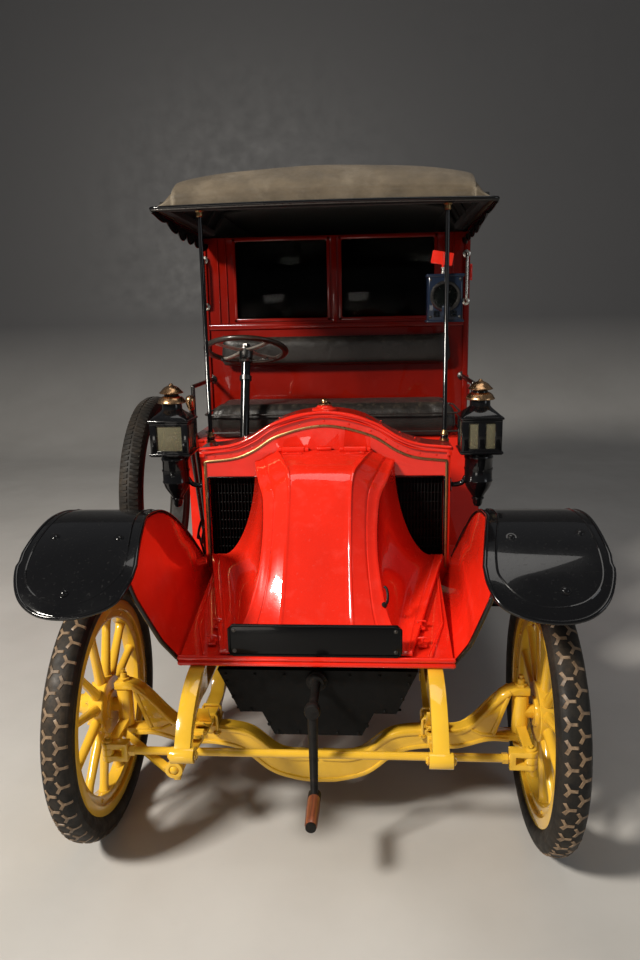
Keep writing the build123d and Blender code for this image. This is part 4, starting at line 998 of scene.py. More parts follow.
def undertray_trim():
    ribs = Shape()
    for x in (-196, 0, 196):
        base = 344 if x == 0 else 419
        for station in range(-30, 420, 75):
            ribs.block(x - 60, x + 60, station - 5, station + 5, base - 4, base + 1, 1.5)
    ribs.turned([(0, 15), (4, 15), (5, 11), (13, 11), (14, 0)], (0, 180, 345), DOWN, 6)
    ribs.piece("undertray_ribs", "grille", slot="black_enamel")
    seam = both_sides([((x, -61, z), AHEAD) for x, z in TRAY_SEAM])
    fasteners("undertray_rivets", seam, "grille", 0.005, 0.003)


def engine_and_rear_trim():
    ribs = Shape()
    for station in range(130, 430, 22):
        ribs.block(-124, 124, station - 3, station + 3, 640, 860, 1)
    ribs.piece("engine_ribs", "iron", slot="cast_metal")
    cover = [(0, 60), (6, 96), (12, 100), (18, 96), (40, 70), (62, 44), (66, 38), (66, 0)]
    Shape().turned(cover, (0, 2734, 405), BACK, 40).piece("rear_axle_cover", "iron")
    studs = [((84 * math.cos(t), 2750, 405 + 84 * math.sin(t)), BACK) for t in turns(12)]
    fasteners("rear_axle_studs", studs, "iron", 0.007, 0.008, dome=False)
    bands = Shape()
    for station in (1512, 1700, 1950, 2138):
        bands.hoop([(-8, 61), (-8, 65), (8, 65), (8, 61)], (215, station, 430), BACK, 48)
    bands.piece("silencer_bands", "iron")


def starting_crank():
    dress("crank", "iron")
    grip = [(0, 15.3), (2, 17.6), (24, 18.6), (62, 19.4), (104, 18.2), (126, 17.4), (131, 15.2),
            (136, 12.5), (137, 0)]
    Shape().turned(grip, (0, -238, 256), AHEAD, 28).piece("crank_grip", "grip", "crank")
    bearing = [(0, 30), (4, 32), (14, 32), (18, 25), (26, 22), (27, 13.5)]
    Shape().turned(bearing, (0, -60, 530), AHEAD, 32).piece("crank_bearing", "iron")
    boss = Shape().turned([(-18, 13.5), (-16, 20), (-4, 23), (12, 23), (18, 20), (20, 0)],
                          (0, -240, 530), AHEAD, 28)
    boss.turned([(-14, 16), (-12, 19), (12, 19), (14, 16)], (0, -240, 256), AHEAD, 24)
    boss.piece("crank_bosses", "iron", "crank")


# ------------------------------------------------------------------ bonnet and scuttle
APRON_Y = -120
SCUTTLE_Y = 480
HINGE_Y, HINGE_Z = 464, 1148
FILLER_FOOT = (0, 540, 1280.3)
BONNET = [(472, 1140, 168, 248, 1098, 372), (360, 1124, 134, 222, 1058, 346),
          (250, 1086, 104, 190, 1002, 318), (130, 940, 100, 184, 872, 292),
          (30, 782, 104, 206, 742, 272), (-40, 690, 110, 232, 676, 266),
          (-104, 656, 114, 246, 652, 262)]
FACE_DIPS = ((0.30, 0), (0.50, 0), (0.56, -0.4), (0.58, -3.0), (0.62, -3.0), (0.64, -0.2),
             (0.74, 0))


def ledge_z(along):
    return 642 + (along - APRON_Y) / (SCUTTLE_Y - APRON_Y) * 115


def flange_x(along):
    return 284 + (along + 104) / 576 * 140


def bonnet_row(along, top, seam, shoulder, shoulder_z, foot):
    """Half of one section: crown, seams, sharp shoulder, hollow skirt and flange."""
    fall = (top - shoulder_z) / (shoulder - seam)
    edge_z, edge_x = ledge_z(along), flange_x(along)
    half = [(u * (seam - 8), top + 3 * (1 - u * u)) for u in np.linspace(0, 1, 7)]
    half += [(seam - 5, top + 1.0), (seam - 2, top + 3.6), (seam + 2, top + 3.4),
             (seam + 5, top + 0.6 - 5 * fall), (seam + 8, top - 8 * fall)]
    for share, dip in FACE_DIPS:
        x = seam + share * (shoulder - seam)
        half.append((x, top - (x - seam) * fall + dip))
    half += [(shoulder - 13, shoulder_z + 13 * fall), (shoulder - 8, shoulder_z + 8 * fall + 2.6),
             (shoulder - 4, shoulder_z + 4 * fall + 3.8), (shoulder - 0.5, shoulder_z + 4.2),
             (shoulder + 0.8, shoulder_z + 2.4)]
    for step in np.linspace(0.05, 1, 13):
        half.append((shoulder + (foot - shoulder) * step ** 1.7,
                     edge_z + (shoulder_z - edge_z) * (1 - step) ** 1.5 + 2.4 * (1 - step)))
    middle_x = (foot + edge_x) / 2
    half += [(foot + 5, edge_z - 0.3), (middle_x - 4, edge_z), (middle_x, edge_z + 2.2),
             (middle_x + 4, edge_z), (edge_x - 10, edge_z), (edge_x - 6, edge_z + 2.2),
             (edge_x - 1, edge_z + 1.4), (edge_x + 0.6, edge_z - 3), (edge_x, edge_z - 12)]
    return [(-x, along, z) for x, z in reversed(half[1:])] + [(x, along, z) for x, z in half]


def bonnet_parts():
    rows = [bonnet_row(*row) for row in smooth_run(BONNET, 64)]
    front = rows[-1]
    rows.append([(x, y - 2.2, z - 1.5) for x, y, z in front])
    rows.append([(x, y - 2.6, min(z - 4, ledge_z(y) - 3)) for x, y, z in front])
    rows.append([(x, y - 2.2, ledge_z(y) - 12) for x, y, z in front])
    Shape().grid(rows).piece("bonnet_panel", "body", "bonnet", wall=2.4, crease=32,
                             replaces=("bonnet",))
    bonnet_hinges()
    bonnet_catches()
    handle = Shape().pipe(smooth_run([(207, 18, 742), (214, 14, 752), (216, 20, 770),
                                      (213, 34, 786), (206, 42, 792)], 16), 4.2, 10)
    handle.turned([(0, 9), (3, 9), (5, 5), (6, 0)], (205, 18, 741), (0.4, -0.6, 0.7), 14)
    handle.piece("bonnet_side_handle", "iron", "bonnet")


def bonnet_hinges():
    hinges = Shape()
    for x in (-110, 110):
        hinges.turned([(-40, 0), (-40, 9), (-38, 11), (38, 11), (40, 9), (40, 0)],
                      (x, HINGE_Y, HINGE_Z), ACROSS, 20)
        hinges.block(x - 34, x + 34, 428, 462, 1136.5, 1142, 2)
    hinges.piece("bonnet_hinges", "body", "bonnet")
    heads = both_sides([((x, 438, 1142), UP) for x in (88, 132)])
    fasteners("bonnet_hinge_screws", heads, "body", 0.0042, 0.003, "bonnet")
    pins = Shape()
    for x in (-62, -158, 62, 158):
        pins.turned([(-8, 0), (-8, 6), (-6, 8), (6, 8), (8, 6), (8, 0)], (x, HINGE_Y, HINGE_Z),
                    ACROSS, 16)
    pins.turned([(-26, 0), (-26, 5), (-24, 6), (24, 6), (26, 5), (26, 0)], (0, 470, 1150),
                ACROSS, 14)
    pins.piece("bonnet_hinge_ends", "body")


def bonnet_catches():
    catch, x = Shape(), 318
    for y, base in ((-52, 646), (34, 664)):
        catch.block(x - 13, x + 13, y - 13, y + 13, base - 6, base + 1, 2)
        catch.turned([(0, 9), (3, 9), (4, 5), (16, 4.5), (17, 7), (21, 7), (22, 0)],
                     (x, y, base), steps=16)
        catch.pipe([(x - 15, y, base + 18), (x - 8, y, base + 19.5), (x + 8, y, base + 19.5),
                    (x + 15, y, base + 18)], [3, 3.6, 3.6, 3], 8)
    catch.mirrored().piece("bonnet_catches", "body")


def ogee(inset, drop):
    """The scuttle's outline from one side to the other, drawn in by a margin."""
    share = (447 - inset) / 447
    points = [(447 * share, 1152), (335 * share, 1164), (262 * share, 1191), (165 * share, 1246),
              (0, 1280)]
    half = [(x, z - drop) for x, z in points]
    return smooth_run([(-x, z) for x, z in half] + list(reversed(half[:-1])), 61)


def scuttle_parts(chosen):
    dress("scuttle", ease=1.5)
    strip = [(-434, 477.6, z) for z in range(706, 1096, 26)]
    strip += [(x, 477.6, z) for x, z in ogee(13, 50)]
    strip += [(434, 477.6, z) for z in range(1096, 705, -26)]
    Shape().pipe(strip, 2.0, 10, flat=chosen.brass_width * 250).piece("scuttle_brass_strip",
                                                                      "strip")
    Shape().pipe([(x, 468.5, z) for x, z in ogee(0, 1)], 5.5, 12).piece("scuttle_edge_bead",
                                                                       "body")
    Shape().pipe([(x, 472, z) for x, z in ogee(12, 17)], 3.0, 8).piece("scuttle_inner_bead",
                                                                      "body")
    spots = [((x, 480, z), AHEAD) for x, z in ogee(20, 32)[2:-2:4]]
    spots += [((x, y, z + 0.6), UP) for x, z in ogee(0, 0)[4:-4:6] for y in (510, 610)]
    fasteners("scuttle_rivets", spots, "body", 0.7 * chosen.rivet, 0.002)
    radiator()
    filler()
    shelf = Shape().block(-455, -440, 470, 640, 1140, 1150, 2)
    shelf.mirrored().piece("scuttle_side_ledges", "body")


def radiator():
    bars = Shape()
    for x in (-427, 427):
        bars.block(x - 3, x + 3, 476, 484, 750, 1046, 1)
    bars.block(-424, 424, 476, 484, 1043, 1049, 1).piece("opening_frame", "black")
    block = Shape().block(-428, 428, 524, 606, 722, 1074, 2)
    block.piece("radiator_core", "grille", replaces=("radiator",))
    fin = Shape().block(-421, -418.5, 506, 526, 752, 1042, 0.6)
    in_row(fin, "radiator_fins", "grille", 70, (12.17, 0, 0))
    tube = Shape().pipe([(-424, 514, 775), (424, 514, 775)], 3, 8)
    in_row(tube, "radiator_tubes", "grille", 8, (0, 0, 34))


def filler():
    plinth = Shape().turned([(-10, 46), (4, 46), (7, 43), (9, 34), (13, 27), (17, 25), (18, 0)],
                            FILLER_FOOT, steps=40)
    plinth.piece("filler_plinth", "body", replaces=("radiator_cap",))
    cap = Shape().turned([(17, 24), (20, 25.5), (23, 25), (26, 20), (28, 13), (32, 12), (34, 15),
                          (37, 14), (39, 9), (41, 4), (42, 0)], FILLER_FOOT, steps=36)
    cap.piece("filler_cap", "brass")


# ------------------------------------------------------------------ apron, plate, fenders
FENDER_HALF = 785
FENDER_RUN = [(-432, 868), (-420, 878), (-310, 962), (-190, 1016), (-40, 1040), (130, 1012),
              (300, 920), (440, 790), (560, 640), (640, 540), (690, 487)]
FENDER_TIP = [(458, -290), (463, -340), (492, -388), (560, -414), (632, -420), (694, -408),
              (743, -375), (772, -320), (785, -250)]
FENDER_SIDE = ([-290, -44, 130, 300, 440, 480, 690], [458, 500, 498, 489, 466, 456, 565])
FENDER_RIDGE = [(484, 430), (512, 260), (525, 130), (527, -44), (489, -270), (500, -335),
                (560, -384), (632, -392), (700, -374), (744, -326), (757, -230), (758, -60),
                (758, 160), (758, 400), (757, 640)]
FENDER_BOLTS = [(-715, -192), (-532, -196), (-625, -368), (541, -188), (727, -168), (646, -356)]
REAR_RUN = [(2093, 490), (2112, 640), (2180, 770), (2300, 872), (2450, 925), (2600, 935),
            (2750, 920), (2900, 850), (3010, 740), (3080, 610), (3130, 520), (3200, 470)]
FENDER_LINE = np.array(smooth_run(FENDER_RUN, 160))
TIP_LINE = np.array(smooth_run(FENDER_TIP, 80))
TIP_NOSE = int(np.argmin(TIP_LINE[:, 1]))


def fender_edges(along):
    """Inner and outer edge of the front fender at a place along the car."""
    outer, inner = FENDER_HALF, np.interp(along, *FENDER_SIDE)
    if along < -250:
        outer = np.interp(along, TIP_LINE[TIP_NOSE:, 1], TIP_LINE[TIP_NOSE:, 0])
    if along < -290:
        inner = np.interp(along, TIP_LINE[:TIP_NOSE + 1, 1][::-1],
                          TIP_LINE[:TIP_NOSE + 1, 0][::-1])
    return inner, outer


def on_fender(x, along, lift):
    return (x, along, np.interp(along, FENDER_LINE[:, 0], FENDER_LINE[:, 1]) + lift)


def valance_x(z):
    return np.interp(z, (600, 690, 860, 1045), (401, 443, 484, 502))


def front_fenders(chosen):
    tip_y = TIP_LINE[TIP_NOSE, 1]
    stations = [tip_y + 0.5 + (-250 - tip_y) * (1 - math.cos(t)) for t in
                np.linspace(0.02, math.pi / 2, 22)] + list(np.linspace(-225, 690, 54))
    rows = []
    for along in stations:
        inner, outer = fender_edges(along)
        rows.append([on_fender(inner + u * (outer - inner), along, -4 * abs(2 * u - 1) ** 6)
                     for u in np.linspace(0, 1, 19)])
    Shape().grid(rows).mirrored().piece("front_fender_skins", "black", wall=4,
                                        replaces=("front_fenders",))
    edge = [(np.interp(y, *FENDER_SIDE), y) for y in np.linspace(470, -280, 30)]
    edge += [(x, y) for x, y in smooth_run(FENDER_TIP, 40)]
    edge += [(FENDER_HALF, y) for y in np.linspace(-235, 688, 36)]
    roll = [on_fender(x - (5 if x > 780 else 0), y, -4.5) for x, y in edge]
    ridge = [on_fender(x, y, -1.0) for x, y in smooth_run(FENDER_RIDGE, 110)]
    beads = Shape().pipe(roll, 6.5, 10).pipe(ridge, 4.0, 8)
    beads.mirrored().piece("front_fender_beads", "black")
    spots = [(on_fender(x, y, 2), (0, -0.55, 0.83)) for x, y in FENDER_BOLTS]
    fasteners("fender_bolts", spots, "black", chosen.fender_bolt, 0.006)
    small = both_sides([(on_fender(x, y, 2.0), UP)
                        for x, y in ((770, 120), (770, 420), (515, 60), (508, 240))])
    fasteners("fender_rivets", small, "black", chosen.rivet, 0.003)
    curve = smooth_run([(-292, 968), (-190, 760), (-106, 610)], 24)
    edge = [(valance_x(z) + 1, y, z) for y, z in curve]
    edge += [(valance_x(606) + 1, y, 606) for y in range(-90, 481, 30)]
    Shape().pipe(edge, 7, 10).mirrored().piece("valance_edges", "black")


def apron_and_plate():
    dress("apron", ease=0.8)
    seams = Shape().pipe([(-330, -118, 640), (-386, 60, 664), (-398, 470, 742)], 2.2, 8)
    seams.pipe([(330, -118, 640), (386, 60, 664), (398, 470, 742)], 2.2, 8)
    seams.piece("apron_seams", "body")
    ends = Shape()
    for height in (610, 626):
        ends.turned([(0, 8), (4, 7.4), (7, 4.5), (8, 0)], (402, -120, height), ACROSS, 16)
    ends.mirrored().piece("apron_lip_ends", "body")
    plate = dress("number_plate", "plate", ease=1)
    outline = [(-249, 640), (249, 640), (249, 722), (238, 729), (-238, 729), (-249, 722)]
    border = []
    for (x0, z0), (x1, z1) in zip(outline, outline[1:] + outline[:1]):
        border += [(x0 + (x1 - x0) * t, -124.4, z0 + (z1 - z0) * t) for t in (0.02, 0.5, 0.98)]
    Shape().pipe(border, 2.2, 8, closed=True).piece("plate_border", "plate")
    spots = [((x, -124, z), AHEAD) for x in (-236, 236) for z in (652, 716)]
    fasteners("plate_screws", spots, "dark_steel", 0.0045, 0.003)
    feet = Shape()
    for x in (-170, 170):
        feet.block(x - 12, x + 12, -117, -96, 628, 690, 2)
    feet.piece("plate_brackets", "iron")


def rear_fenders():
    run = smooth_run(REAR_RUN, 70)
    rows = [[(SIDE_X + 163 * u, y, z + 2 - 3 * (2 * u - 1) ** 6) for u in np.linspace(0, 1, 11)]
            for y, z in run]
    Shape().grid(rows).mirrored().piece("rear_fender_skins", "black", wall=4,
                                        replaces=("rear_fenders",))
    beads = Shape().pipe([(779, y, z - 1) for y, z in run], 6, 10)
    beads.pipe([(754, y, z + 2.5) for y, z in run], 3.6, 8)
    beads.pipe([(SIDE_X + 161 * t, 3199, 471) for t in np.linspace(0, 1, 5)], 5, 8)
    beads.mirrored().piece("rear_fender_beads", "black")
    spots = both_sides([((x, y, z + 3), UP) for y, z in run[8:60:12] for x in (640, 735)])
    fasteners("rear_fender_bolts", spots, "black", 0.007, 0.004)


def running_boards():
    dress("running_boards", ease=2)
    mat = Shape().block(574, 776, 705, 2075, 489.5, 493, 1)
    mat.mirrored().piece("board_mats", "mat")
    rib = Shape().block(600, 770, 716, 722, 492, 496.5, 1.2)
    for side, name in SIDES:
        bar = Shape().put([(side * x, y, z) for x, y, z in rib.points], rib.faces)
        in_row(bar, "board_ribs_" + name, "mat", 68, (0, 20, 0))
    trim = Shape().pipe([(784, 694, 482), (784, 2086, 482)], 5.5, 10, flat=1.6)
    for y in (696, 2084):
        trim.block(572, 778, y - 3, y + 3, 489, 497, 1.5)
    trim.mirrored().piece("board_edge_trim", "brass")
    spots = both_sides([((782, y, 470), (1, 0, -1)) for y in range(760, 2080, 165)])
    fasteners("board_screws", spots, "black", 0.005, 0.003)
    brackets = both_sides([((x, y, 455), DOWN) for y in (800, 1400, 1960) for x in (590, 720)])
    fasteners("board_bolts", brackets, "iron", 0.008, 0.009, dome=False)


# ------------------------------------------------------------------ carriage lamps
LAMP_BARREL = [(0, 0), (1, 8), (4, 13), (14, 17), (27, 18), (29, 21), (34, 21), (36, 19),
               (50, 27), (66, 38), (80, 45), (92, 48.5), (96, 50.5), (100, 50.5), (104, 48.5),
               (176, 48.5), (180, 51), (185, 51), (190, 48.5), (200, 46), (204, 44), (204, 0)]
LAMP_LOWER = [(383, 30), (385, 46), (387, 50.5), (390, 50.5), (395, 47), (402, 43), (408, 37),
              (411, 30), (412, 0)]
LAMP_UPPER = [(418, 24), (420, 39), (422, 43), (424.5, 43), (428, 38), (435, 32), (441, 26),
              (446, 17), (449, 9), (453, 7), (456, 4), (456.5, 0)]
LAMP_ROOF = ((1259, 69), (1264, 66), (1270, 60), (1277, 52), (1284, 44), (1290, 38), (1294, 36))
LAMP_X, LAMP_Y, LAMP_FOOT = 548, 500, 930
LAMP_FACES = ((0, -1), (1, 0), (0, 1), (-1, 0))


def lamp_side(shape, face, out, half, deep, z0, z1, ease):
    """A bar or pane along one of the lamp's four faces."""
    x, y = LAMP_X + face[0] * out, LAMP_Y + face[1] * out
    wide, thick = (half, deep) if face[1] else (deep, half)
    shape.block(x - wide, x + wide, y - thick, y + thick, z0, z1, ease)


def lamp_bodies():
    x, y = LAMP_X, LAMP_Y
    metal = Shape().turned(LAMP_BARREL, (x, y, LAMP_FOOT), steps=40)
    for low, high, half, ease in ((1130, 1134, 70, 1), (1133, 1141, 74, 2), (1140, 1146, 69, 1),
                                  (1244, 1253, 69, 1), (1252, 1260, 74, 2)):
        metal.block(x - half, x + half, y - half, y + half, low, high, ease)
    for post_x in (x - 57, x + 57):
        for post_y in (y - 57, y + 57):
            metal.block(post_x - 12, post_x + 12, post_y - 12, post_y + 12, 1144, 1246, 1.5)
    for face in LAMP_FACES:
        for low, high in ((1145, 1151), (1239, 1245)):
            lamp_side(metal, face, 65, 58, 2.5, low, high, 1)
    metal.loft([Shape.rounded_ring(x - half, x + half, y - half, y + half,
                                   min(half - 1, 6 + (z - 1259) * 0.85), z, 6)
                for z, half in LAMP_ROOF])
    metal.turned([(360, 36), (386, 35), (410, 27), (421, 24), (421, 0)], (x, y, LAMP_FOOT),
                 steps=32)
    arm = smooth_run([(449, 506, 1010), (468, 506, 1010), (492, 503, 1018), (505, 500, 1040)], 14)
    metal.pipe(arm, 9, 12)
    metal.turned([(0, 26), (4, 26), (6, 22), (6, 0)], (447.6, 506, 1010), ACROSS, 28)
    metal.mirrored().piece("lamp_bodies", "black", crease=34, replaces=("side_lamps",))


def side_lamps():
    lamp_bodies()
    x, y = LAMP_X, LAMP_Y
    caps = Shape()
    for profile in (LAMP_LOWER, LAMP_UPPER):
        caps.turned(profile, (x, y, LAMP_FOOT), steps=40)
    caps.mirrored().piece("lamp_chimney_caps", "brass")
    trim = Shape()
    for z, radius in ((1070, 50), (962, 21.5)):
        trim.hoop([(-2.5, radius - 2), (-2.5, radius + 0.6), (2.5, radius + 0.6),
                   (2.5, radius - 2)], (x, y, z), UP, 40)
    trim.mirrored().piece("lamp_rings", "black")
    panes = Shape()
    for face in LAMP_FACES:
        lamp_side(panes, face, 62, 57, 1.4, 1147, 1243, 0.8)
    bar = Shape().block(x - 13, x + 13, y - 67, y - 55, 1144, 1246, 1.5)
    bar.piece("lamp_centre_bar", "black")
    panes.mirrored().piece("lamp_panes", "lamp_glass")
    inside = Shape().turned([(0, 40), (3, 40), (4, 15), (30, 13), (31, 8), (50, 7), (52, 3),
                             (60, 1.5), (60, 0)], (x, y, 1146), steps=28)
    inside.turned([(0, 8), (6, 34), (14, 46), (15, 44), (7, 32), (1, 0)], (x, y + 42, 1186),
                  AHEAD, 36)
    inside.mirrored().piece("lamp_burners", "dark_steel")


# ------------------------------------------------------------------ soft pieces
SIM_FRAMES = 20
SKIN_STEP = 0.010


def stuffing(made, held, floor_level, reach, swell):
    """Fills a slack skin with air; the floor and the places under the buttons are held."""
    points = vertex_places(made)
    group = made.vertex_groups.new(name="held")
    for index, point in enumerate(points):
        near = min((np.linalg.norm(point - b) for b in held), default=1)
        if point[2] < floor_level or near < reach:
            group.add([index], 1.0, "ADD")
    cloth = made.modifiers.new("Stuffing", "CLOTH")
    cloth.settings.quality = 4
    cloth.settings.mass = 0.4
    cloth.settings.use_pressure = True
    cloth.settings.uniform_pressure_force = 4
    cloth.settings.tension_stiffness = cloth.settings.compression_stiffness = 12
    cloth.settings.shear_stiffness = 6
    cloth.settings.effector_weights.gravity = 0
    cloth.settings.vertex_group_mass = "held"
    cloth.collision_settings.use_collision = False
    cloth.point_cache.frame_start, cloth.point_cache.frame_end = 1, SIM_FRAMES
    for number in range(1, SIM_FRAMES + 1):
        bpy.context.scene.frame_set(number)
    settle(made)
    made.vertex_groups.clear()
    bpy.context.scene.frame_set(1)
    shift = vertex_places(made) - points
    length = np.linalg.norm(shift, axis=1, keepdims=True)
    return points + shift * np.minimum(1, swell / 1000 / np.maximum(length, 1e-9))


def vertex_places(made):
    return np.array([tuple(v.co) for v in made.data.vertices])


def press_buttons(points, held, centre):
    """Draws the skin in round each button."""
    for point in points:
        for button in held:
            reach = np.linalg.norm(point - button)
            if reach < 0.11:
                inward = centre - button
                inward[0] = 0
                inward /= max(np.linalg.norm(inward), 1e-6)
                point += inward * 0.020 * math.exp(-(reach / 0.030) ** 2)


def cushion(name, box, swell, ease, replaces=(), buttons=()):
    """A stuffed cushion: a slack block that air pressure fills, with its buttons held down."""
    x0, x1, y0, y1, z0, z1 = box
    start = Shape().block(x0 + swell, x1 - swell, y0 + swell, y1 - swell, z0, z1 - swell, ease)
    mesh = bpy.data.meshes.new(name)
    mesh.from_pydata([place(p) for p in start.points], [], start.faces)
    cleaned(mesh, 0)
    made = stand(name, mesh)
    remesh = made.modifiers.new("Even skin", "REMESH")
    remesh.mode, remesh.voxel_size = "VOXEL", SKIN_STEP
    settle(made)
    points = vertex_places(made)
    held = [np.array(place(b)) for b in buttons]
    low, high = np.array(place((x0, y0, z0))), np.array(place((x1, y1, z1)))
    points = stuffing(made, held, low[2] + SKIN_STEP * 0.6, 1.6 * SKIN_STEP, swell)
    press_buttons(points, held, (low + high) / 2)
    points = np.clip(points, low - 0.003, high + 0.003)
    made.data.vertices.foreach_set("co", points.ravel())
    made.data.update()
    finished(made, "seat", crease=60, replaces=replaces)
    return made


def welts(name, box, inset, levels):
    """Piping sewn round a cushion."""
    x0, x1, y0, y1 = box[0] + inset, box[1] - inset, box[2] + inset, box[3] - inset
    cord = Shape()
    for z in levels:
        ring = Shape.rounded_ring(x0, x1, y0, y1, 34, z, 7)
        path = []
        for (ax, ay, _), (bx, by, _) in zip(ring, ring[1:] + ring[:1]):
            count = max(1, int(math.hypot(bx - ax, by - ay) / 60))
            path += [(ax + (bx - ax) * k / count, ay + (by - ay) * k / count, z)
                     for k in range(count)]
        cord.pipe(path, 4.2, 8, closed=True)
    return cord.piece(name, "seat")


def seats():
    driver = (-545, 545, 950, 1315, 1108.3, 1250)
    cushion("driver_cushion", driver, 16, 40, ("driver_seat",))
    welts("driver_cushion_welts", driver, 7, (1136, 1212))
    cushion("driver_backrest", (-545, 545, 1331, 1410, 1395, 1545), 10, 26)
    passenger = (-560, 560, 2330, 2730, 900, 1060)
    rows = [(x, y, 1060) for x in range(-450, 451, 150) for y in (2430, 2560)]
    cushion("passenger_cushion", passenger, 14, 40, ("passenger_seat",), rows)
    welts("passenger_cushion_welts", passenger, 8, (925, 1028))
    base = Shape().block(-556, 556, 2345, 2925, 641, 899, 6)
    base.piece("passenger_seat_box", "trim")
    high = [(x, 2745, z) for z in (1180, 1320) for x in range(-450, 451, 150)]
    high += [(x, 2745, z) for z in (1250, 1400) for x in range(-375, 376, 150)]
    cushion("passenger_backrest", (-560, 560, 2745, 2930, 1062, 1500), 16, 44,
            buttons=high)
    spots = [((x, y + 2, 1046), UP) for x, y, _ in rows]
    spots += [((x, y + 17, z), AHEAD) for x, y, z in high]
    fasteners("seat_buttons", spots, "seat", 0.011, 0.004)
    dress("armrests", "dark_steel")
    rails = Shape()
    for side in (-1, 1):
        rails.turned([(0, 22), (3, 22), (5, 14), (14, 12), (14, 0)], (side * 590, 1000, 1108.5),
                     steps=24)
        rails.turned([(0, 20), (3, 20), (5, 14), (8, 10), (8, 0)], (side * 590, 1410.5, 1330),
                     AHEAD, 24)
    rails.piece("armrest_feet", "dark_steel")


# ------------------------------------------------------------------ canopy
HEADER_Z = 1985
CANOPY_FRONT, CANOPY_REAR = 566, 2100
ROOF_RISE = [(0, 60), (14, 82), (38, 104), (74, 128), (124, 148), (194, 160), (300, 168)]
ROOF_STATIONS = [(CANOPY_FRONT + reach, 600, HEADER_Z + 5 - reach / 100, HEADER_Z + 2 + rise)
                 for reach, rise in ROOF_RISE]
ROOF_STATIONS += [(1200, 606, 1981, 2155), (1700, 612, 1978, 2155),
                  (CANOPY_REAR, 618, 1976, 2155)]


def arch_row(along, half, side_z, top_z, puff=0.0, flare=1.0):
    """One section of the canopy from lip to lip, hollow where it flares out to the brim."""
    rise, draw = top_z - side_z, 22 * flare
    half_points = [(0, top_z), (0.35 * (half - 75), top_z - 0.032 * rise),
                   (0.7 * (half - 75), top_z - 0.115 * rise),
                   (half - 88, side_z + 0.74 * rise), (half - 58 - draw, side_z + 0.63 * rise),
                   (half - 40 - draw, side_z + 0.47 * rise), (half - 24 - draw, side_z + 0.28 * rise),
                   (half - 12 - 0.6 * draw, side_z + 0.12 * rise), (half - 1, side_z + 0.02 * rise)]
    line = smooth_run([(-x, z) for x, z in reversed(half_points[1:])] + half_points, 61)
    return [(x, along, z + puff * math.sin(x / 61.0 + along / 83.0)) for x, z in line]


def flare_at(along):
    return max(0, 1 - (along - CANOPY_FRONT) / 700)


def lip_z(along):
    return HEADER_Z + 4 - (along - CANOPY_FRONT) / 110


def canopy():
    fine = smooth_run(ROOF_STATIONS, 70)
    canopy_cloth(fine)
    canopy_edge()
    canopy_bows(fine)
    for side, name in SIDES:
        canopy_valance(side, name)
    nails = both_sides([((612, y, lip_z(y) + 4), ACROSS) for y in range(640, 2090, 50)])
    fasteners("canopy_nails", nails, "black", 0.0042, 0.003)


def canopy_cloth(fine):
    """The painted cloth with its turned-down front, and the lining under it."""
    rows = [arch_row(*row, puff=0.8, flare=flare_at(row[0])) for row in fine]
    face = []
    for share, ahead in ((0, 0.5), (0.25, 1.5), (0.55, 1.2), (0.85, 0.4)):
        face.append([(x, y - ahead, HEADER_Z + 4 + (z - HEADER_Z - 4) * share)
                     for x, y, z in rows[0]])
    cover = Shape().grid(face + rows).piece("canopy_cloth", "roof", wall=3, crease=50,
                                            replaces=("roof",))
    under = []
    for along, half, side_z, top_z in fine:
        row = arch_row(along + (12 if along < 600 else 0), half - 20, side_z, top_z - 24,
                       flare=flare_at(along))
        under.append([(x, y, max(z, side_z + 2)) for x, y, z in row])
    # The lining's near-black colour is partly painted shade under the canopy.
    Shape().grid(under).piece("canopy_lining_painted_shade", "lining", wall=3, crease=50)


def canopy_edge():
    corner = smooth_run([(584, 563, 1989), (600, 572, 1989), (603, 596, 1989)], 8)
    half = corner + [(603, y, lip_z(y)) for y in range(630, 2091, 60)]
    lip = [(-603, y, lip_z(y)) for y in range(2090, 600, -60)]
    lip += [(-x, y, z) for x, y, z in reversed(corner)]
    lip += [(x, 562, 1989 + 6 * (1 - (x / 584) ** 2)) for x in range(-560, 561, 40)] + half
    Shape().pipe([(x, y, z + 2) for x, y, z in lip], 6.5, 12).piece("canopy_edge_roll", "black")
    Shape().pipe([(x * 1.002, y - 1.5, z - 5) for x, y, z in lip], 3.0, 8).piece(
        "canopy_edge_bead", "dark_steel", slot="brass")


def canopy_bows(fine):
    bows = Shape()
    for along in (606, 800, 1010, 1220, 1400):
        half, side_z, top_z = [np.interp(along, [r[0] for r in fine], [r[k] for r in fine])
                               for k in (1, 2, 3)]
        arch = arch_row(along, half - 24, side_z, top_z - 34)
        bows.pipe([(x, y, max(z, side_z + 6)) for x, y, z in arch], 10, 8, flat=0.7)
    for x in (-560, 560):
        bows.block(x - 16, x + 16, 590, 1410, 1984, 2010, 4)
    bows.block(-575, 575, 590, 622, 1984.8, 2016, 4)
    bows.piece("canopy_bows", "lining")


def canopy_valance(side, name):
    """The scalloped leather that hangs from one side of the canopy."""
    rows = []
    for share in np.linspace(0, 1, 97):
        wave = abs(math.sin(math.pi * share * 6))
        depth = 12 + 56 * min(1, share * 3.0) * (0.42 + 0.58 * wave ** 0.8)
        sway = 5 * math.sin(share * 37) * share
        draw = 26 * min(1, share * 4) - sway
        rows.append([(side * (600 + 12 * share) - side * draw * u * u, 572 + share * 836,
                      1990 - 8 * share - depth * u) for u in np.linspace(0, 1, 9)])
    fringe = Shape().grid(rows).piece("canopy_valance_" + name, "hood", wall=2.4)
    binding = Shape().pipe([row[-1] for row in rows], 3, 8)
    binding.piece("valance_binding_" + name, "black", slot="hood_leather")


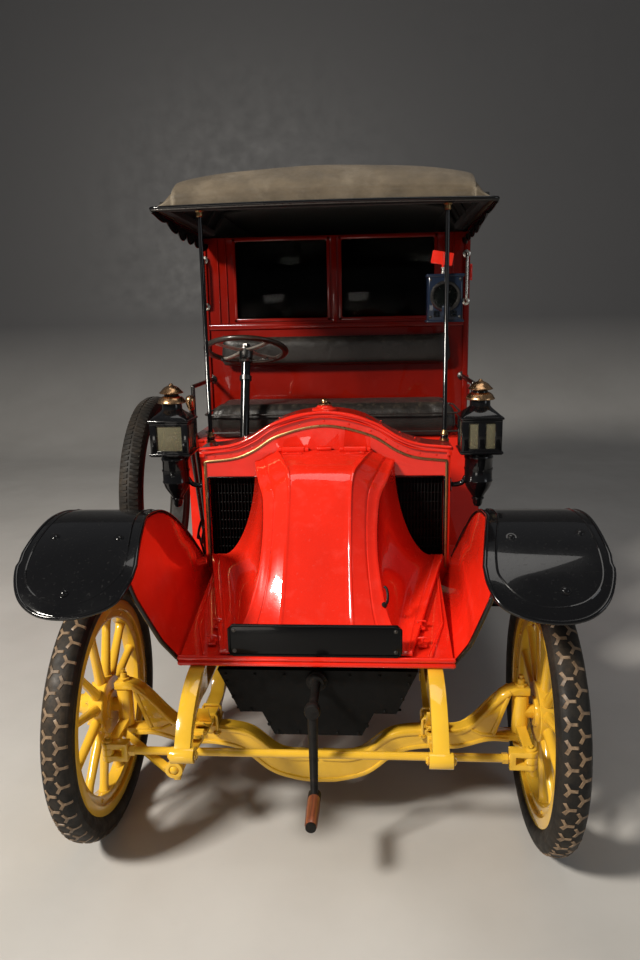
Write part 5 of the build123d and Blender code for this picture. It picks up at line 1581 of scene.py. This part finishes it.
# ------------------------------------------------------------------ rear hood
HOOD_LINE = [(2104, 2155), (2240, 2155.5), (2420, 2154), (2560, 2150), (2720, 2118), (2850, 2056),
             (2940, 1958), (2985, 1840), (2999, 1700), (3000, 1580), (2992, 1450), (2980, 1334)]
HOOD_ARCH = [(0, 0), (190, 5), (380, 21), (543, 46), (572, 60), (591, 79), (604, 102), (610, 130)]
HOOD_BOWS = (0.16, 0.36, 0.56)
HOOD_HUB = (2330, 1345)
HOOD_EDGE_Z = 1334


def to_hub(y, z, t):
    """A place between a point of the hood's side and the hub of its bows."""
    return y + (HOOD_HUB[0] - y) * t, z + (HOOD_HUB[1] - z) * t


def hood_row(line, index):
    """One section of the hood: an arch over the top and a fan down each side to the hub."""
    share = index / (len(line) - 1)
    run = np.array(line[min(index + 1, len(line) - 1)]) - np.array(line[max(index - 1, 0)])
    run = run / np.linalg.norm(run)
    inward = np.array((run[1], -run[0]))
    ridge = sum(4.5 * math.exp(-((share - b) / 0.012) ** 2) for b in HOOD_BOWS)
    slack = 2.4 * math.sin(share * 60) * math.sin(share * 3.1)
    half = []
    for x, drop in smooth_run(HOOD_ARCH, 16):
        y, z = np.array(line[index]) + inward * (drop - ridge - slack * min(1, drop / 60 + 0.3))
        half.append((x, y, z))
    edge_x, edge_y, edge_z = half[-1]
    for t in np.linspace(0.04, 1, 15):
        fold = 5.5 * math.sin(share * 40 + 2.0 * t) * math.sin(math.pi * min(1, t * 1.2))
        half.append((edge_x + 3 + 2 * t + fold * (0.35 + 0.65 * (1 - t)),
                     *to_hub(edge_y, edge_z, t)))
    return [(-x, y, z) for x, y, z in reversed(half[1:])] + half


def hood_cover(line):
    skin = Shape().grid([hood_row(line, index) for index in range(len(line))])
    for side in (-1, 1):
        skin.grid([[(side * (613 + 2 * math.sin(z / 55)), *to_hub(2104, z, t))
                    for t in np.linspace(0, 1, 6)] for z in np.linspace(HOOD_EDGE_Z, 2025, 16)])
        skin.put([(side * 614, 2104, HOOD_EDGE_Z), (side * 614, *HOOD_HUB),
                  (side * 614, 2980, HOOD_EDGE_Z), (side * 614, HOOD_HUB[0], HOOD_EDGE_Z)],
                 [(0, 1, 3), (3, 1, 2)])
    cover = skin.piece("hood_leather_cover", "hood", wall=3, crease=60, replaces=("hood",))


def hood_irons():
    """The bows that fan out from the hub, and the folding irons on both sides."""
    bows, irons = Shape(), Shape()
    for side in (-1, 1):
        hub = (side * 622, 2330, 1350)
        for y, z in ((2180, 1990), (2480, 1990), (2760, 1900), (2880, 1640)):
            bows.pipe([hub, (side * 621, (hub[1] + y) / 2, (hub[2] + z) / 2 + 6),
                       (side * 615, y, z)], 5, 8, flat=1.8)
        bows.turned([(-8, 0), (-8, 22), (-5, 25), (5, 25), (9, 18), (11, 8), (12, 0)], hub,
                    (side, 0, 0), 28)
        for leg in ([(2420, 1372), (2500, 1470), (2600, 1580), (2620, 1660)],
                    [(2620, 1660), (2560, 1740), (2440, 1830), (2380, 1930)]):
            irons.pipe([(side * 627, y, z) for y, z in smooth_run(leg, 14)], 6, 10)
        for y, z in ((2420, 1372), (2620, 1660), (2380, 1930)):
            irons.turned([(-10, 0), (-10, 13), (6, 13), (9, 9), (10, 0)], (side * 627, y, z),
                         (side, 0, 0), 24)
    bows.piece("hood_side_bows", "black", crease=45)
    irons.piece("hood_irons", "steel")


def hood_seams(line):
    seams = Shape()
    over = [(-x, drop) for x, drop in reversed(HOOD_ARCH[1:])] + HOOD_ARCH
    for share in HOOD_BOWS:
        y, z = line[int(share * (len(line) - 1))]
        seams.pipe([(x, y, z - drop + 5) for x, drop in smooth_run(over, 41)], 3.2, 8)
    for side in (-1, 1):
        seams.pipe([(side * 546, y, z - 42.5) for y, z in line[:30]], 2.6, 8)
    seams.piece("hood_seams", "hood")


def hood_window():
    ring = []
    for turn in turns(48):
        across, up = math.cos(turn), math.sin(turn)
        ring.append((165 * math.copysign(abs(across) ** 0.6, across), 3003.5,
                     1660 + 82 * math.copysign(abs(up) ** 0.6, up)))
    Shape().pipe(ring, 7, 10, closed=True).piece("hood_window_frame", "black")
    # The window pane is an opaque near-black sheet: painted shade in place of the dim inside seen
    # through it.
    pane = Shape().loft([[(x * k, 3000.5 + d, 1660 + (z - 1660) * k) for x, _, z in ring]
                         for k, d in ((0.98, 0), (1.0, 1.0), (0.98, 3.0))])
    pane.piece("hood_window", "lining", slot="hood_leather")


def hood_parts():
    line = smooth_run(HOOD_LINE, 84)
    hood_cover(line)
    hood_irons()
    hood_seams(line)
    hood_window()
    straps = Shape()
    for side in (-1, 1):
        for y in (2250, 2700, 2860):
            straps.block(side * 619 - 3, side * 619 + 3, y - 12, y + 12, 1318, 1392, 1)
            straps.block(side * 622 - 2, side * 622 + 2, y - 15, y + 15, 1340, 1362, 1)
    straps.piece("hood_straps", "hood")
    rail = [(-621, 2104, HOOD_EDGE_Z)] + [(-621, y, HOOD_EDGE_Z) for y in range(2160, 2880, 60)]
    rail += smooth_run([(-619, 2884, HOOD_EDGE_Z), (-592, 2946, HOOD_EDGE_Z),
                        (-530, 2978, HOOD_EDGE_Z)], 12)
    rail += [(x, 2981, HOOD_EDGE_Z) for x in range(-480, 1, 60)]
    rail += [(-x, y, z) for x, y, z in reversed(rail[:-1])]
    Shape().pipe(rail, 7, 10).piece("hood_rail", "black")
    spots = both_sides([((624, y, 1345), ACROSS) for y in range(2130, 2880, 60)])
    spots += [((x, 2988, 1345), BACK) for x in range(-500, 501, 50)]
    fasteners("hood_nails", spots, "brass", 0.005, 0.003)


# ------------------------------------------------------------------ cab
HINGE_HEIGHTS = (760, 1250, 1800)
WINDOW_FOOT, WINDOW_TOP = 1386, 1870


def frame_ring(shape, corners, half_wide, half_deep, axis):
    """A moulding round a window: axis names the direction that the window faces."""
    for (a0, z0), (a1, z1) in zip(corners, corners[1:] + corners[:1]):
        low, high = min(a0, a1) - half_wide, max(a0, a1) + half_wide
        foot, top = min(z0, z1) - half_wide, max(z0, z1) + half_wide
        near, far = axis[1] - half_deep, axis[1] + half_deep
        if axis[0] == "y":
            shape.block(low, high, near, far, foot, top, 2)
        else:
            shape.block(near, far, low, high, foot, top, 2)


def oblong(a0, a1, z0, z1):
    return [(a0, z0), (a1, z0), (a1, z1), (a0, z1)]


def side_block(shape, side, x0, x1, *rest):
    """A block on one side of the car."""
    return shape.block(*sorted((side * x0, side * x1)), *rest)


def cab():
    # The bulkhead and its mouldings take the darkened red: painted shade under the canopy.
    dress("bulkhead", "shaded_body", ease=1.5)
    for node in ("cabin_side_right", "cabin_side_left", "cabin_back", "door_right", "door_left"):
        dress(node, ease=1.5)
    dress("floor", "body", ease=1.5)
    bulkhead_trim()
    for side, name in SIDES:
        door_outside(side, name)
        door_inside(side, name)
        door_handle(side, name)
        door_hinges(side, name)
        side_mouldings(side, name)
        grab_rail(side, name)
    cab_back()
    cab_inside()


def bulkhead_trim():
    frames = Shape()
    for low, high in ((-460, -30), (30, 460)):
        frame_ring(frames, oblong(low - 3, high + 3, 1602, 1963), 7, 5, ("y", 1410))
    frames.block(-612, 612, 1403, 1411, 1560, 1584, 3)
    frames.block(-12, 12, 1402, 1411, 1584, 1975, 3)
    for x in (-540, -502, 502, 540):
        frames.block(x - 3.5, x + 3.5, 1405, 1411, 1590, 1970, 2)
    for x in (-604, 604):
        frames.block(x - 12, x + 12, 1401, 1411, 642, 1975, 3)
    frames.piece("bulkhead_mouldings", "shaded_body")
    panes = Shape()
    for low, high in ((-466, -24), (24, 466)):
        panes.block(low, high, 1424, 1428, 1599, 1966, 1)
    panes.piece("bulkhead_panes", "glass")


def door_outside(side, name):
    door = Shape()
    frame_ring(door, oblong(1535, 2003, WINDOW_FOOT, WINDOW_TOP), 8, 4, ("x", side * (SIDE_X + 2)))
    frame_ring(door, oblong(1520, 2020, 720, 1276), 4, 3, ("x", side * (SIDE_X + 1.5)))
    door.piece("door_mouldings_" + name, "body", "door_" + name)
    pane = Shape().block(side * 604 - 2, side * 604 + 2, 1533, 2005, WINDOW_FOOT - 2,
                         WINDOW_TOP + 2, 1)
    pane.piece("door_pane_" + name, "glass", "door_" + name)


def door_inside(side, name):
    lining = side_block(Shape(), side, 589.5, 586, 1478, 2060, 660, 1372, 1)
    for z in (1362, 700, 1130):
        side_block(lining, side, 590, 583, 1478, 2060, z - 5, z + 5, 2)
    side_block(lining, side, 590, 578, 1600, 1900, 860, 868, 2)
    lining.piece("door_lining_" + name, "trim", "door_" + name)
    strap = Shape().block(side * 588 - 2, side * 588 + 2, 1740, 1790, 1130, 1384, 1)
    strap.block(side * 586 - 3, side * 586 + 3, 1735, 1795, 1180, 1190, 1.5)
    strap.piece("window_strap_" + name, "seat", "door_" + name)


def door_handle(side, name):
    lever = smooth_run([(side * 634, 2014, 1200), (side * 638, 1990, 1201),
                        (side * 637, 1955, 1196), (side * 633, 1930, 1199)], 16)
    handle = Shape().pipe(lever, [7, 7.2, 7.4, 7.4, 7.2, 7, 6.8, 6.6, 6.4, 6.2, 6, 6.2, 6.6, 7,
                                  7.2, 6], 12)
    handle.turned([(0, 24), (3, 24), (5, 20), (5, 0)], (side * SIDE_X, 2014, 1200), (side, 0, 0))
    handle.turned([(0, 10), (3, 10), (4, 8), (4, 0)], (side * SIDE_X, 2014, 1140), (side, 0, 0),
                  24)
    handle.piece("door_handle_" + name, "brass", "door_" + name)


def door_hinges(side, name):
    leaves = Shape()
    for height in HINGE_HEIGHTS:
        side_block(leaves, side, 617, 622, 1474, 1506, height - 22, height + 22, 1.5)
    leaves.piece("hinge_leaves_" + name, "body", "door_" + name)
    heads = [((side * 622, y, height + up), (side, 0, 0)) for height in HINGE_HEIGHTS
             for up in (-14, 14) for y in (1484, 1498)]
    fasteners("hinge_screws_" + name, heads, "body", 0.0038, 0.0025, "door_" + name)


def side_mouldings(side, name):
    """Mouldings of the cab's fixed side, and the lining behind it."""
    quarter = Shape()
    frame_ring(quarter, oblong(2150, 2815, 720, 1276), 4, 3, ("x", side * (SIDE_X + 1.5)))
    side_block(quarter, side, 617, 624, 2092, 2838, 1314, 1332, 3)
    side_block(quarter, side, 617, 623, 1413, 1452, 1312, 1332, 3)
    side_block(quarter, side, 617, 623, 2082, 2838, 641, 655, 3)
    side_block(quarter, side, 617, 623, 1413, 2095, 1955, 1972, 3)
    quarter.piece("side_mouldings_" + name, "body")
    inner = side_block(Shape(), side, 589.5, 586, 2080, 2830, 905, 1322, 1)
    inner.piece("quarter_lining_" + name, "trim")


def grab_rail(side, name):
    line = [(1402, 1668), (1382, 1672), (1374, 1690), (1374, 1770), (1374, 1856), (1382, 1874),
            (1402, 1878)]
    rail = Shape().pipe(smooth_run([(side * 600, y, z) for y, z in line], 30), 7.5, 12)
    for z in (1668, 1878):
        rail.turned([(0, 17), (4, 17), (6, 12), (6, 0)], (side * 600, 1402, z), AHEAD, 24)
    rail.piece("grab_rail_" + name, "steel")


def cab_back():
    belt = [(-621, y, 1323) for y in (2842, 2868)]
    belt += smooth_run([(-619, 2880, 1323), (-592, 2935, 1323), (-530, 2961.5, 1323)], 10)
    belt += [(x, 2962, 1323) for x in range(-480, 1, 60)]
    belt += [(-x, y, z) for x, y, z in reversed(belt[:-1])]
    back = Shape().pipe(belt, 6, 10)
    back.pipe([(x, y, 650) for x, y, _ in belt], 5, 8)
    frame_ring(back, oblong(-480, 480, 740, 1240), 4, 3, ("y", 2961))
    back.piece("cab_back_mouldings", "body")


def cab_inside():
    ceiling = [[(x, along, z) for x, _, z in arch_row(along, 585, 1985, 2118)]
               for along in np.linspace(1446, 2640, 30)]
    Shape().grid(ceiling).piece("cab_ceiling", "trim", wall=2)
    mats = Shape().block(-575, 575, 1460, 2325, 641, 645, 1)
    mats.block(-430, 430, 850, 955, 641, 645, 1).piece("floor_mats", "mat")
    panels = Shape()
    for side in (-1, 1):
        frame_ring(panels, oblong(1000, 1380, 690, 1060), 4, 3, ("x", side * (SIDE_X + 0.5)))
        side_block(panels, side, 545, 622, 955, 1411, 1096, 1107.5, 3)
    panels.piece("seat_box_mouldings", "body")


# ------------------------------------------------------------------ controls and meter
WHEEL_CENTRE, COLUMN_LEAN = (-352, 985, 1480), math.radians(20)
COLUMN_AXIS = (0, math.sin(COLUMN_LEAN), math.cos(COLUMN_LEAN))
LEVER_GAP = 60


def on_column(down):
    """A place on the steering column, below the steering wheel."""
    return np.array(WHEEL_CENTRE) - np.array(COLUMN_AXIS) * down


def controls():
    dress("steering_column", "black")
    steering_rim_and_hub()
    steering_spokes()
    column_trim()
    lever_trim()
    pedals_and_toe_board()


def steering_rim_and_hub():
    rim = []
    for t in turns(16):
        along, radius = 10 * math.sin(t), 163 + 14 * math.cos(t)
        if radius < 163:
            along += 1.2 * math.cos(6 * math.atan2(along, radius - 163))
        rim.append((along, radius))
    Shape().hoop(rim, WHEEL_CENTRE, COLUMN_AXIS, 96).piece(
        "steering_rim", "wheel_rim", "steering_wheel", replaces=("steering_wheel",))
    hub = Shape().turned([(-38, 15), (-38, 27), (-34, 28), (-6, 28), (-2, 30), (6, 30), (10, 26),
                          (14, 16), (18, 15), (20, 12), (20, 0)], WHEEL_CENTRE, COLUMN_AXIS, 40)
    hub.turned([(14, 17), (24, 17), (26, 14), (26, 0)], WHEEL_CENTRE, COLUMN_AXIS, 6)
    hub.piece("steering_hub", "dark_steel", "steering_wheel")


def steering_spokes():
    aside = np.array((0, math.cos(COLUMN_LEAN), -math.sin(COLUMN_LEAN)))
    rows = []
    for r, wide, thick, drop in ((24, 18, 6, -2), (50, 15, 6, -4), (90, 13, 5.4, -5),
                                 (130, 12, 5.4, -4), (150, 15, 6, -1), (158, 17, 6, 0)):
        rows.append([np.array((r, 0, 0)) + aside * wide * math.cos(t)
                     + np.array(COLUMN_AXIS) * (drop + thick * math.sin(t)) for t in turns(12)])
    around(Shape().loft(rows), "steering_spokes", "satin", 4, place(WHEEL_CENTRE), COLUMN_AXIS,
           "steering_wheel", math.pi / 4, 50)


def column_trim():
    column = Shape()
    for down in (120, 470):
        column.turned([(-9, 19), (-9, 25), (9, 25), (9, 19)], on_column(down), COLUMN_AXIS, 28)
    foot = on_column(46)
    column.turned([(-10, 19), (-8, 27), (0, 31), (8, 27), (10, 12)], foot, COLUMN_AXIS)
    for side in (-1, 1):
        tip = foot + np.array((side * 92, -30, 6))
        column.pipe([foot, foot + np.array((side * 40, -14, 2)), tip], [5, 4.2, 3.6], 10)
        column.turned([(-4, 0), (-3, 6), (4, 8), (8, 5), (9, 0)], tip, COLUMN_AXIS, 16)
    column.piece("column_collars_and_hand_levers", "dark_steel", slot="black_enamel")


def lever_trim():
    dress("hand_levers", "dark_steel")
    knobs = Shape()
    for offset, top in ((0, 1300), (LEVER_GAP, 1210)):
        knobs.turned([(-34, 10.5), (-30, 13), (-22, 15), (0, 19.6), (12, 18), (20, 12), (23, 5),
                      (24, 0)], (-530 - offset / 2, 700 + offset, top), (-0.05, -0.16, 0.98), 28)
    knobs.piece("lever_knobs", "brass")
    quadrants = Shape()
    for offset in (0, LEVER_GAP):
        x = -508 - offset / 2
        arc = [(x, 770 + offset + 130 * math.sin(t), 660 + 130 * math.cos(t))
               for t in np.linspace(-0.9, 0.5, 18)]
        quadrants.pipe(arc, 4, 8, flat=3.0)
        for end in (arc[2], arc[-2]):
            quadrants.pipe([(x, 770 + offset, 642), end], 5, 8)
    quadrants.piece("lever_quadrants", "iron")


def pedals_and_toe_board():
    pedals = Shape()
    for x in (-300, -210, -120):
        pedals.pipe([(x, 700, 745), (x, 716, 800), (x, 742, 822)], 7, 10)
        pedals.block(x - 28, x + 28, 738, 748, 796, 852, 3)
        for z in range(804, 850, 9):
            pedals.block(x - 24, x + 24, 747, 751, z, z + 3, 1)
    pedals.piece("pedals", "iron")
    ribs = Shape()
    for x in range(-400, 401, 40):
        ribs.pipe([(x, 662, 802), (x, 812, 648)], 2.4, 6)
    ribs.piece("toe_board_ribs", "boards")


STAY_Y = 606
DIAL = (434, 626, 1672)


def stays_and_meter():
    dress("roof_stays", "black")
    ends = Shape()
    for x in (-436, 436):
        ends.turned([(-3, 18), (2, 18), (4, 14), (12, 12), (16, 13.5), (24, 13.5), (27, 11),
                     (36, 9), (36, 0)], (x, STAY_Y, 1158), steps=28)
        ends.turned([(0, 9), (3, 12), (16, 12), (20, 16), (22, 16), (22, 0)], (x, STAY_Y, 1962),
                    steps=28)
    ends.piece("stay_sockets", "strip")
    case = Shape().block(371, 497, 627, 714, 1582, 1748, 8)
    for low, high in ((1738, 1750), (1580, 1590)):
        case.block(366, 502, 624, 718, low, high, 4)
    case.block(422, 450, 614, 628, 1600, 1640, 3)
    case.piece("meter_case", "meter", replaces=("taximeter",))
    meter_dial()
    slots = Shape()
    for x in (394, 424, 454):
        slots.block(x - 1, x + 21, 624.5, 629, 1600, 1622, 1.2)
    slots.piece("meter_windows", "glass", slot="meter_black")
    meter_flag()
    spots = [((x, 627, z), AHEAD) for x in (382, 486) for z in (1600, 1730)]
    fasteners("meter_screws", spots, "dark_steel", 0.004, 0.003)


def meter_dial():
    Shape().hoop([(-4, 41), (4, 41), (7, 44), (7, 50), (3, 54), (-4, 54)], DIAL, AHEAD, 56).piece(
        "meter_bezel", "dark_steel")
    Shape().turned([(-3, 0), (-3, 42), (1, 42), (1, 0)], DIAL, AHEAD, 48).piece("dial", "dial")
    pane = Shape().turned([(3, 0), (3, 43), (5, 42), (9, 26), (10.5, 10), (10.8, 0)], DIAL, AHEAD,
                          48)
    pane.piece("meter_glass", "glass", slot="meter_black")
    marks, (x, _, z) = Shape(), DIAL
    for turn in turns(10):
        marks.pipe([(x + r * math.sin(turn), 624.6, z + r * math.cos(turn)) for r in (31, 38)],
                   1.3, 6)
    marks.pipe([(x, 623.5, z), (x + 18, 623.5, z + 18)], [2.4, 0.9], 8)
    marks.piece("meter_marks", "steel", slot="meter_black")


def meter_flag():
    rows = []
    for depth, grow in ((-3, -1.5), (-1.5, 0), (1.5, 0), (3, -1.5)):
        corners = Shape.rounded_ring(-39 - grow, 39 + grow, -23 - grow, 23 + grow, 5, 0, 5)
        rows.append([(426 + x * 0.985 + z * 0.17, 671 + depth, 1806 - x * 0.17 + z * 0.985)
                     for x, z, _ in corners])
    flag = Shape().loft(rows).pipe([(428, 671, 1770), (427, 671, 1826)], 4.5, 10)
    flag.piece("meter_flag", "flag_red")
    rod = Shape().turned([(0, 10), (4, 10), (6, 6), (18, 5), (20, 7), (26, 7), (28, 0)],
                         (428, 671, 1748), steps=20)
    rod.piece("flag_stem", "steel")


# ------------------------------------------------------------------ stage
CAMERA_SPOT = (0.1706, -3.5201, 1.597)
CAMERA_TURN, CAMERA_DIP, CAMERA_LEAN = -0.072, 0.212, -0.020
CAMERA_LENS = 27.85


def soft_light(name, spot, target, size, power, colour):
    lamp = bpy.data.lights.new(name, "AREA")
    lamp.shape, lamp.size, lamp.size_y = "RECTANGLE", size[0], size[1]
    lamp.energy, lamp.color = power, colour
    made = stand(name, lamp)
    made.location = spot
    made.rotation_euler = (Vector(target) - Vector(spot)).to_track_quat("-Z", "Y").to_euler()


def floor_finish():
    ground = Finish("studio_floor")
    tone = ground.blend(ground.band(ground.noise(1.4, 5, 0.6), 0.35, 0.7), (0.52, 0.505, 0.48),
                        (0.46, 0.445, 0.42))
    tone = ground.blend(ground.band(ground.noise(26, 6, 0.7), 0.62, 0.8, 0, 0.3), tone,
                        (0.42, 0.40, 0.375))
    height = ground.add("ShaderNodeSeparateXYZ", {"Vector": ground.place}).outputs["Z"]
    tone = ground.blend(ground.band(height, 0.05, 1.6), tone, (0.115, 0.115, 0.118))
    return ground.shade(Base_Color=tone, Normal=ground.relief(ground.noise(60, 5, 0.6), 0.001, 0.2),
                        Roughness=ground.band(ground.noise(5, 4, 0.6), 0.3, 0.7, 0.42, 0.58))


def floor_sweep():
    """The floor, which curves up into the backdrop."""
    rows = [(-9, 0), (5.0, 0)] + [(5.0 + 2.2 * math.sin(t), 2.2 - 2.2 * math.cos(t))
                                  for t in np.linspace(0.12, math.pi / 2, 14)] + [(7.2, 6.5)]
    mesh = bpy.data.meshes.new("floor_sweep")
    mesh.from_pydata([(x, y, z) for y, z in rows for x in (-11, 11)], [],
                     [(i, i + 1, i + 3, i + 2) for i in range(0, 2 * len(rows) - 2, 2)])
    mesh.materials.append(floor_finish())
    mesh.polygons.foreach_set("use_smooth", [True] * len(mesh.polygons))
    stand("floor_sweep", mesh)


def front_camera():
    lens = bpy.data.cameras.new("front_camera")
    lens.lens, lens.sensor_width, lens.sensor_fit = CAMERA_LENS, 36, "AUTO"
    camera = stand("front_camera", lens)
    flat = Vector((math.sin(CAMERA_TURN), math.cos(CAMERA_TURN), 0))
    ahead = flat * math.cos(CAMERA_DIP) - Vector((0, 0, math.sin(CAMERA_DIP)))
    side = Vector((math.cos(CAMERA_TURN), -math.sin(CAMERA_TURN), 0))
    over = side.cross(ahead)
    right = side * math.cos(CAMERA_LEAN) + over * math.sin(CAMERA_LEAN)
    up = over * math.cos(CAMERA_LEAN) - side * math.sin(CAMERA_LEAN)
    camera.matrix_world = (Matrix.Translation(CAMERA_SPOT)
                           @ Matrix((right, up, -ahead)).transposed().to_4x4())
    bpy.context.scene.camera = camera


def set_stage():
    """Floor with a curved backdrop, four soft lights, a pale world and the camera."""
    floor_sweep()
    soft_light("key_light", (-3.6, -4.6, 4.6), (0, -1.0, 0.9), (1.0, 0.8), 540, (1.0, 0.945, 0.86))
    soft_light("fill_light", (4.6, -3.4, 2.6), (0, -0.6, 0.8), (1.6, 1.8), 20, (0.92, 0.96, 1.0))
    soft_light("top_light", (0.2, -0.4, 5.4), (0, -0.3, 0), (2.2, 3.0), 48, (1.0, 0.97, 0.93))
    soft_light("low_light", (-1.4, -5.2, 0.7), (0, -1.4, 0.5), (1.2, 0.6), 10, (1.0, 0.94, 0.85))
    world = bpy.data.worlds.new("studio_air")
    world.use_nodes = True
    air = world.node_tree.nodes["Background"]
    air.inputs["Color"].default_value = (0.88, 0.90, 0.94, 1)
    air.inputs["Strength"].default_value = 0.12
    bpy.context.scene.world = world
    front_camera()
    bpy.context.scene.view_settings.view_transform = "Standard"


# ------------------------------------------------------------------ add-on
def colours(context):
    return context.scene.taxi_colours


def sizes(context):
    return context.scene.taxi_sizes


class TAXI_OT_finishes(bpy.types.Operator):
    """Mixes every paint, metal, leather and glass from the chosen colours"""
    bl_idname = "taxi.finishes"
    bl_label = "Mix the finishes"

    def execute(self, context):
        mix_finishes(colours(context))
        return {"FINISHED"}


class TAXI_OT_wheels(bpy.types.Operator):
    """Spoked wheels with their tyres, and the spare tyre on the running board"""
    bl_idname = "taxi.wheels"
    bl_label = "Wheels and tyres"

    def execute(self, context):
        chosen = sizes(context)
        for name in WHEELS:
            side = 1 if name.endswith("left") else -1
            spoked_wheel(name, side, chosen.spokes)
            road_tyre("tyre_" + name, "wheel_" + name, chosen.tread_marks)
        spare_wheel_tyre(chosen.tread_marks)
        return {"FINISHED"}


class TAXI_OT_running_gear(bpy.types.Operator):
    """Front axle, springs, steering rods, frame, engine and starting crank"""
    bl_idname = "taxi.running_gear"
    bl_label = "Running gear"

    def execute(self, context):
        running_gear()
        starting_crank()
        return {"FINISHED"}


class TAXI_OT_bonnet(bpy.types.Operator):
    """Pressed bonnet panel with its hinges and catches"""
    bl_idname = "taxi.bonnet"
    bl_label = "Bonnet"

    def execute(self, context):
        bonnet_parts()
        return {"FINISHED"}


class TAXI_OT_scuttle(bpy.types.Operator):
    """Scuttle with its rolled edge, brass strip, radiator and filler"""
    bl_idname = "taxi.scuttle"
    bl_label = "Scuttle and radiator"

    def execute(self, context):
        scuttle_parts(sizes(context))
        return {"FINISHED"}


class TAXI_OT_fenders(bpy.types.Operator):
    """Fenders with rolled edges, the apron, the plate and the running boards"""
    bl_idname = "taxi.fenders"
    bl_label = "Fenders, apron and boards"

    def execute(self, context):
        front_fenders(sizes(context))
        apron_and_plate()
        rear_fenders()
        running_boards()
        return {"FINISHED"}


class TAXI_OT_lamps(bpy.types.Operator):
    """Carriage lamps with grey panes and coppery chimneys"""
    bl_idname = "taxi.lamps"
    bl_label = "Side lamps"

    def execute(self, context):
        side_lamps()
        return {"FINISHED"}


class TAXI_OT_cab(bpy.types.Operator):
    """Closed cab: bulkhead, sides, doors, windows, mouldings and lining"""
    bl_idname = "taxi.cab"
    bl_label = "Cab"

    def execute(self, context):
        cab()
        return {"FINISHED"}


class TAXI_OT_seats(bpy.types.Operator):
    """Stuffed leather cushions and backrests, filled by air pressure on cloth"""
    bl_idname = "taxi.seats"
    bl_label = "Seats"

    def execute(self, context):
        seats()
        return {"FINISHED"}


class TAXI_OT_canopy(bpy.types.Operator):
    """Cloth canopy over the driver, its bows and its scalloped valances"""
    bl_idname = "taxi.canopy"
    bl_label = "Canopy"

    def execute(self, context):
        canopy()
        return {"FINISHED"}


class TAXI_OT_hood(bpy.types.Operator):
    """Folding leather hood behind the cab with its bows and irons"""
    bl_idname = "taxi.hood"
    bl_label = "Rear hood"

    def execute(self, context):
        hood_parts()
        return {"FINISHED"}


class TAXI_OT_controls(bpy.types.Operator):
    """Steering wheel and column, hand levers and pedals"""
    bl_idname = "taxi.controls"
    bl_label = "Controls"

    def execute(self, context):
        controls()
        return {"FINISHED"}


class TAXI_OT_meter(bpy.types.Operator):
    """Roof stays and the taximeter with its flag"""
    bl_idname = "taxi.meter"
    bl_label = "Stays and taximeter"

    def execute(self, context):
        stays_and_meter()
        return {"FINISHED"}


class TAXI_OT_stage(bpy.types.Operator):
    """Floor, soft lights and the camera"""
    bl_idname = "taxi.stage"
    bl_label = "Stage"

    def execute(self, context):
        set_stage()
        return {"FINISHED"}


STEPS = (TAXI_OT_finishes, TAXI_OT_stage, TAXI_OT_wheels, TAXI_OT_running_gear, TAXI_OT_bonnet,
         TAXI_OT_scuttle, TAXI_OT_fenders, TAXI_OT_lamps, TAXI_OT_cab, TAXI_OT_seats,
         TAXI_OT_canopy, TAXI_OT_hood, TAXI_OT_controls, TAXI_OT_meter)


class TAXI_PT_dressing(bpy.types.Panel):
    """Colours, sizes and the steps that dress the taxi"""
    bl_idname = "TAXI_PT_dressing"
    bl_label = "Vintage taxi"
    bl_space_type = "VIEW_3D"
    bl_region_type = "UI"
    bl_category = "Taxi"

    def draw(self, context):
        for group in (colours(context), sizes(context)):
            box = self.layout.box()
            for name in group.__annotations__:
                box.prop(group, name)
        for step in STEPS:
            self.layout.operator(step.bl_idname)


CLASSES = (TaxiColours, TaxiSizes, *STEPS, TAXI_PT_dressing)


def register():
    for item in CLASSES:
        bpy.utils.register_class(item)
    bpy.types.Scene.taxi_colours = bpy.props.PointerProperty(type=TaxiColours)
    bpy.types.Scene.taxi_sizes = bpy.props.PointerProperty(type=TaxiSizes)


def unregister():
    del bpy.types.Scene.taxi_sizes
    del bpy.types.Scene.taxi_colours
    for item in reversed(CLASSES):
        bpy.utils.unregister_class(item)


def main():
    register()
    for step in STEPS:
        group, name = step.bl_idname.split(".")
        getattr(getattr(bpy.ops, group), name)()


if __name__ == "__main__":
    main()
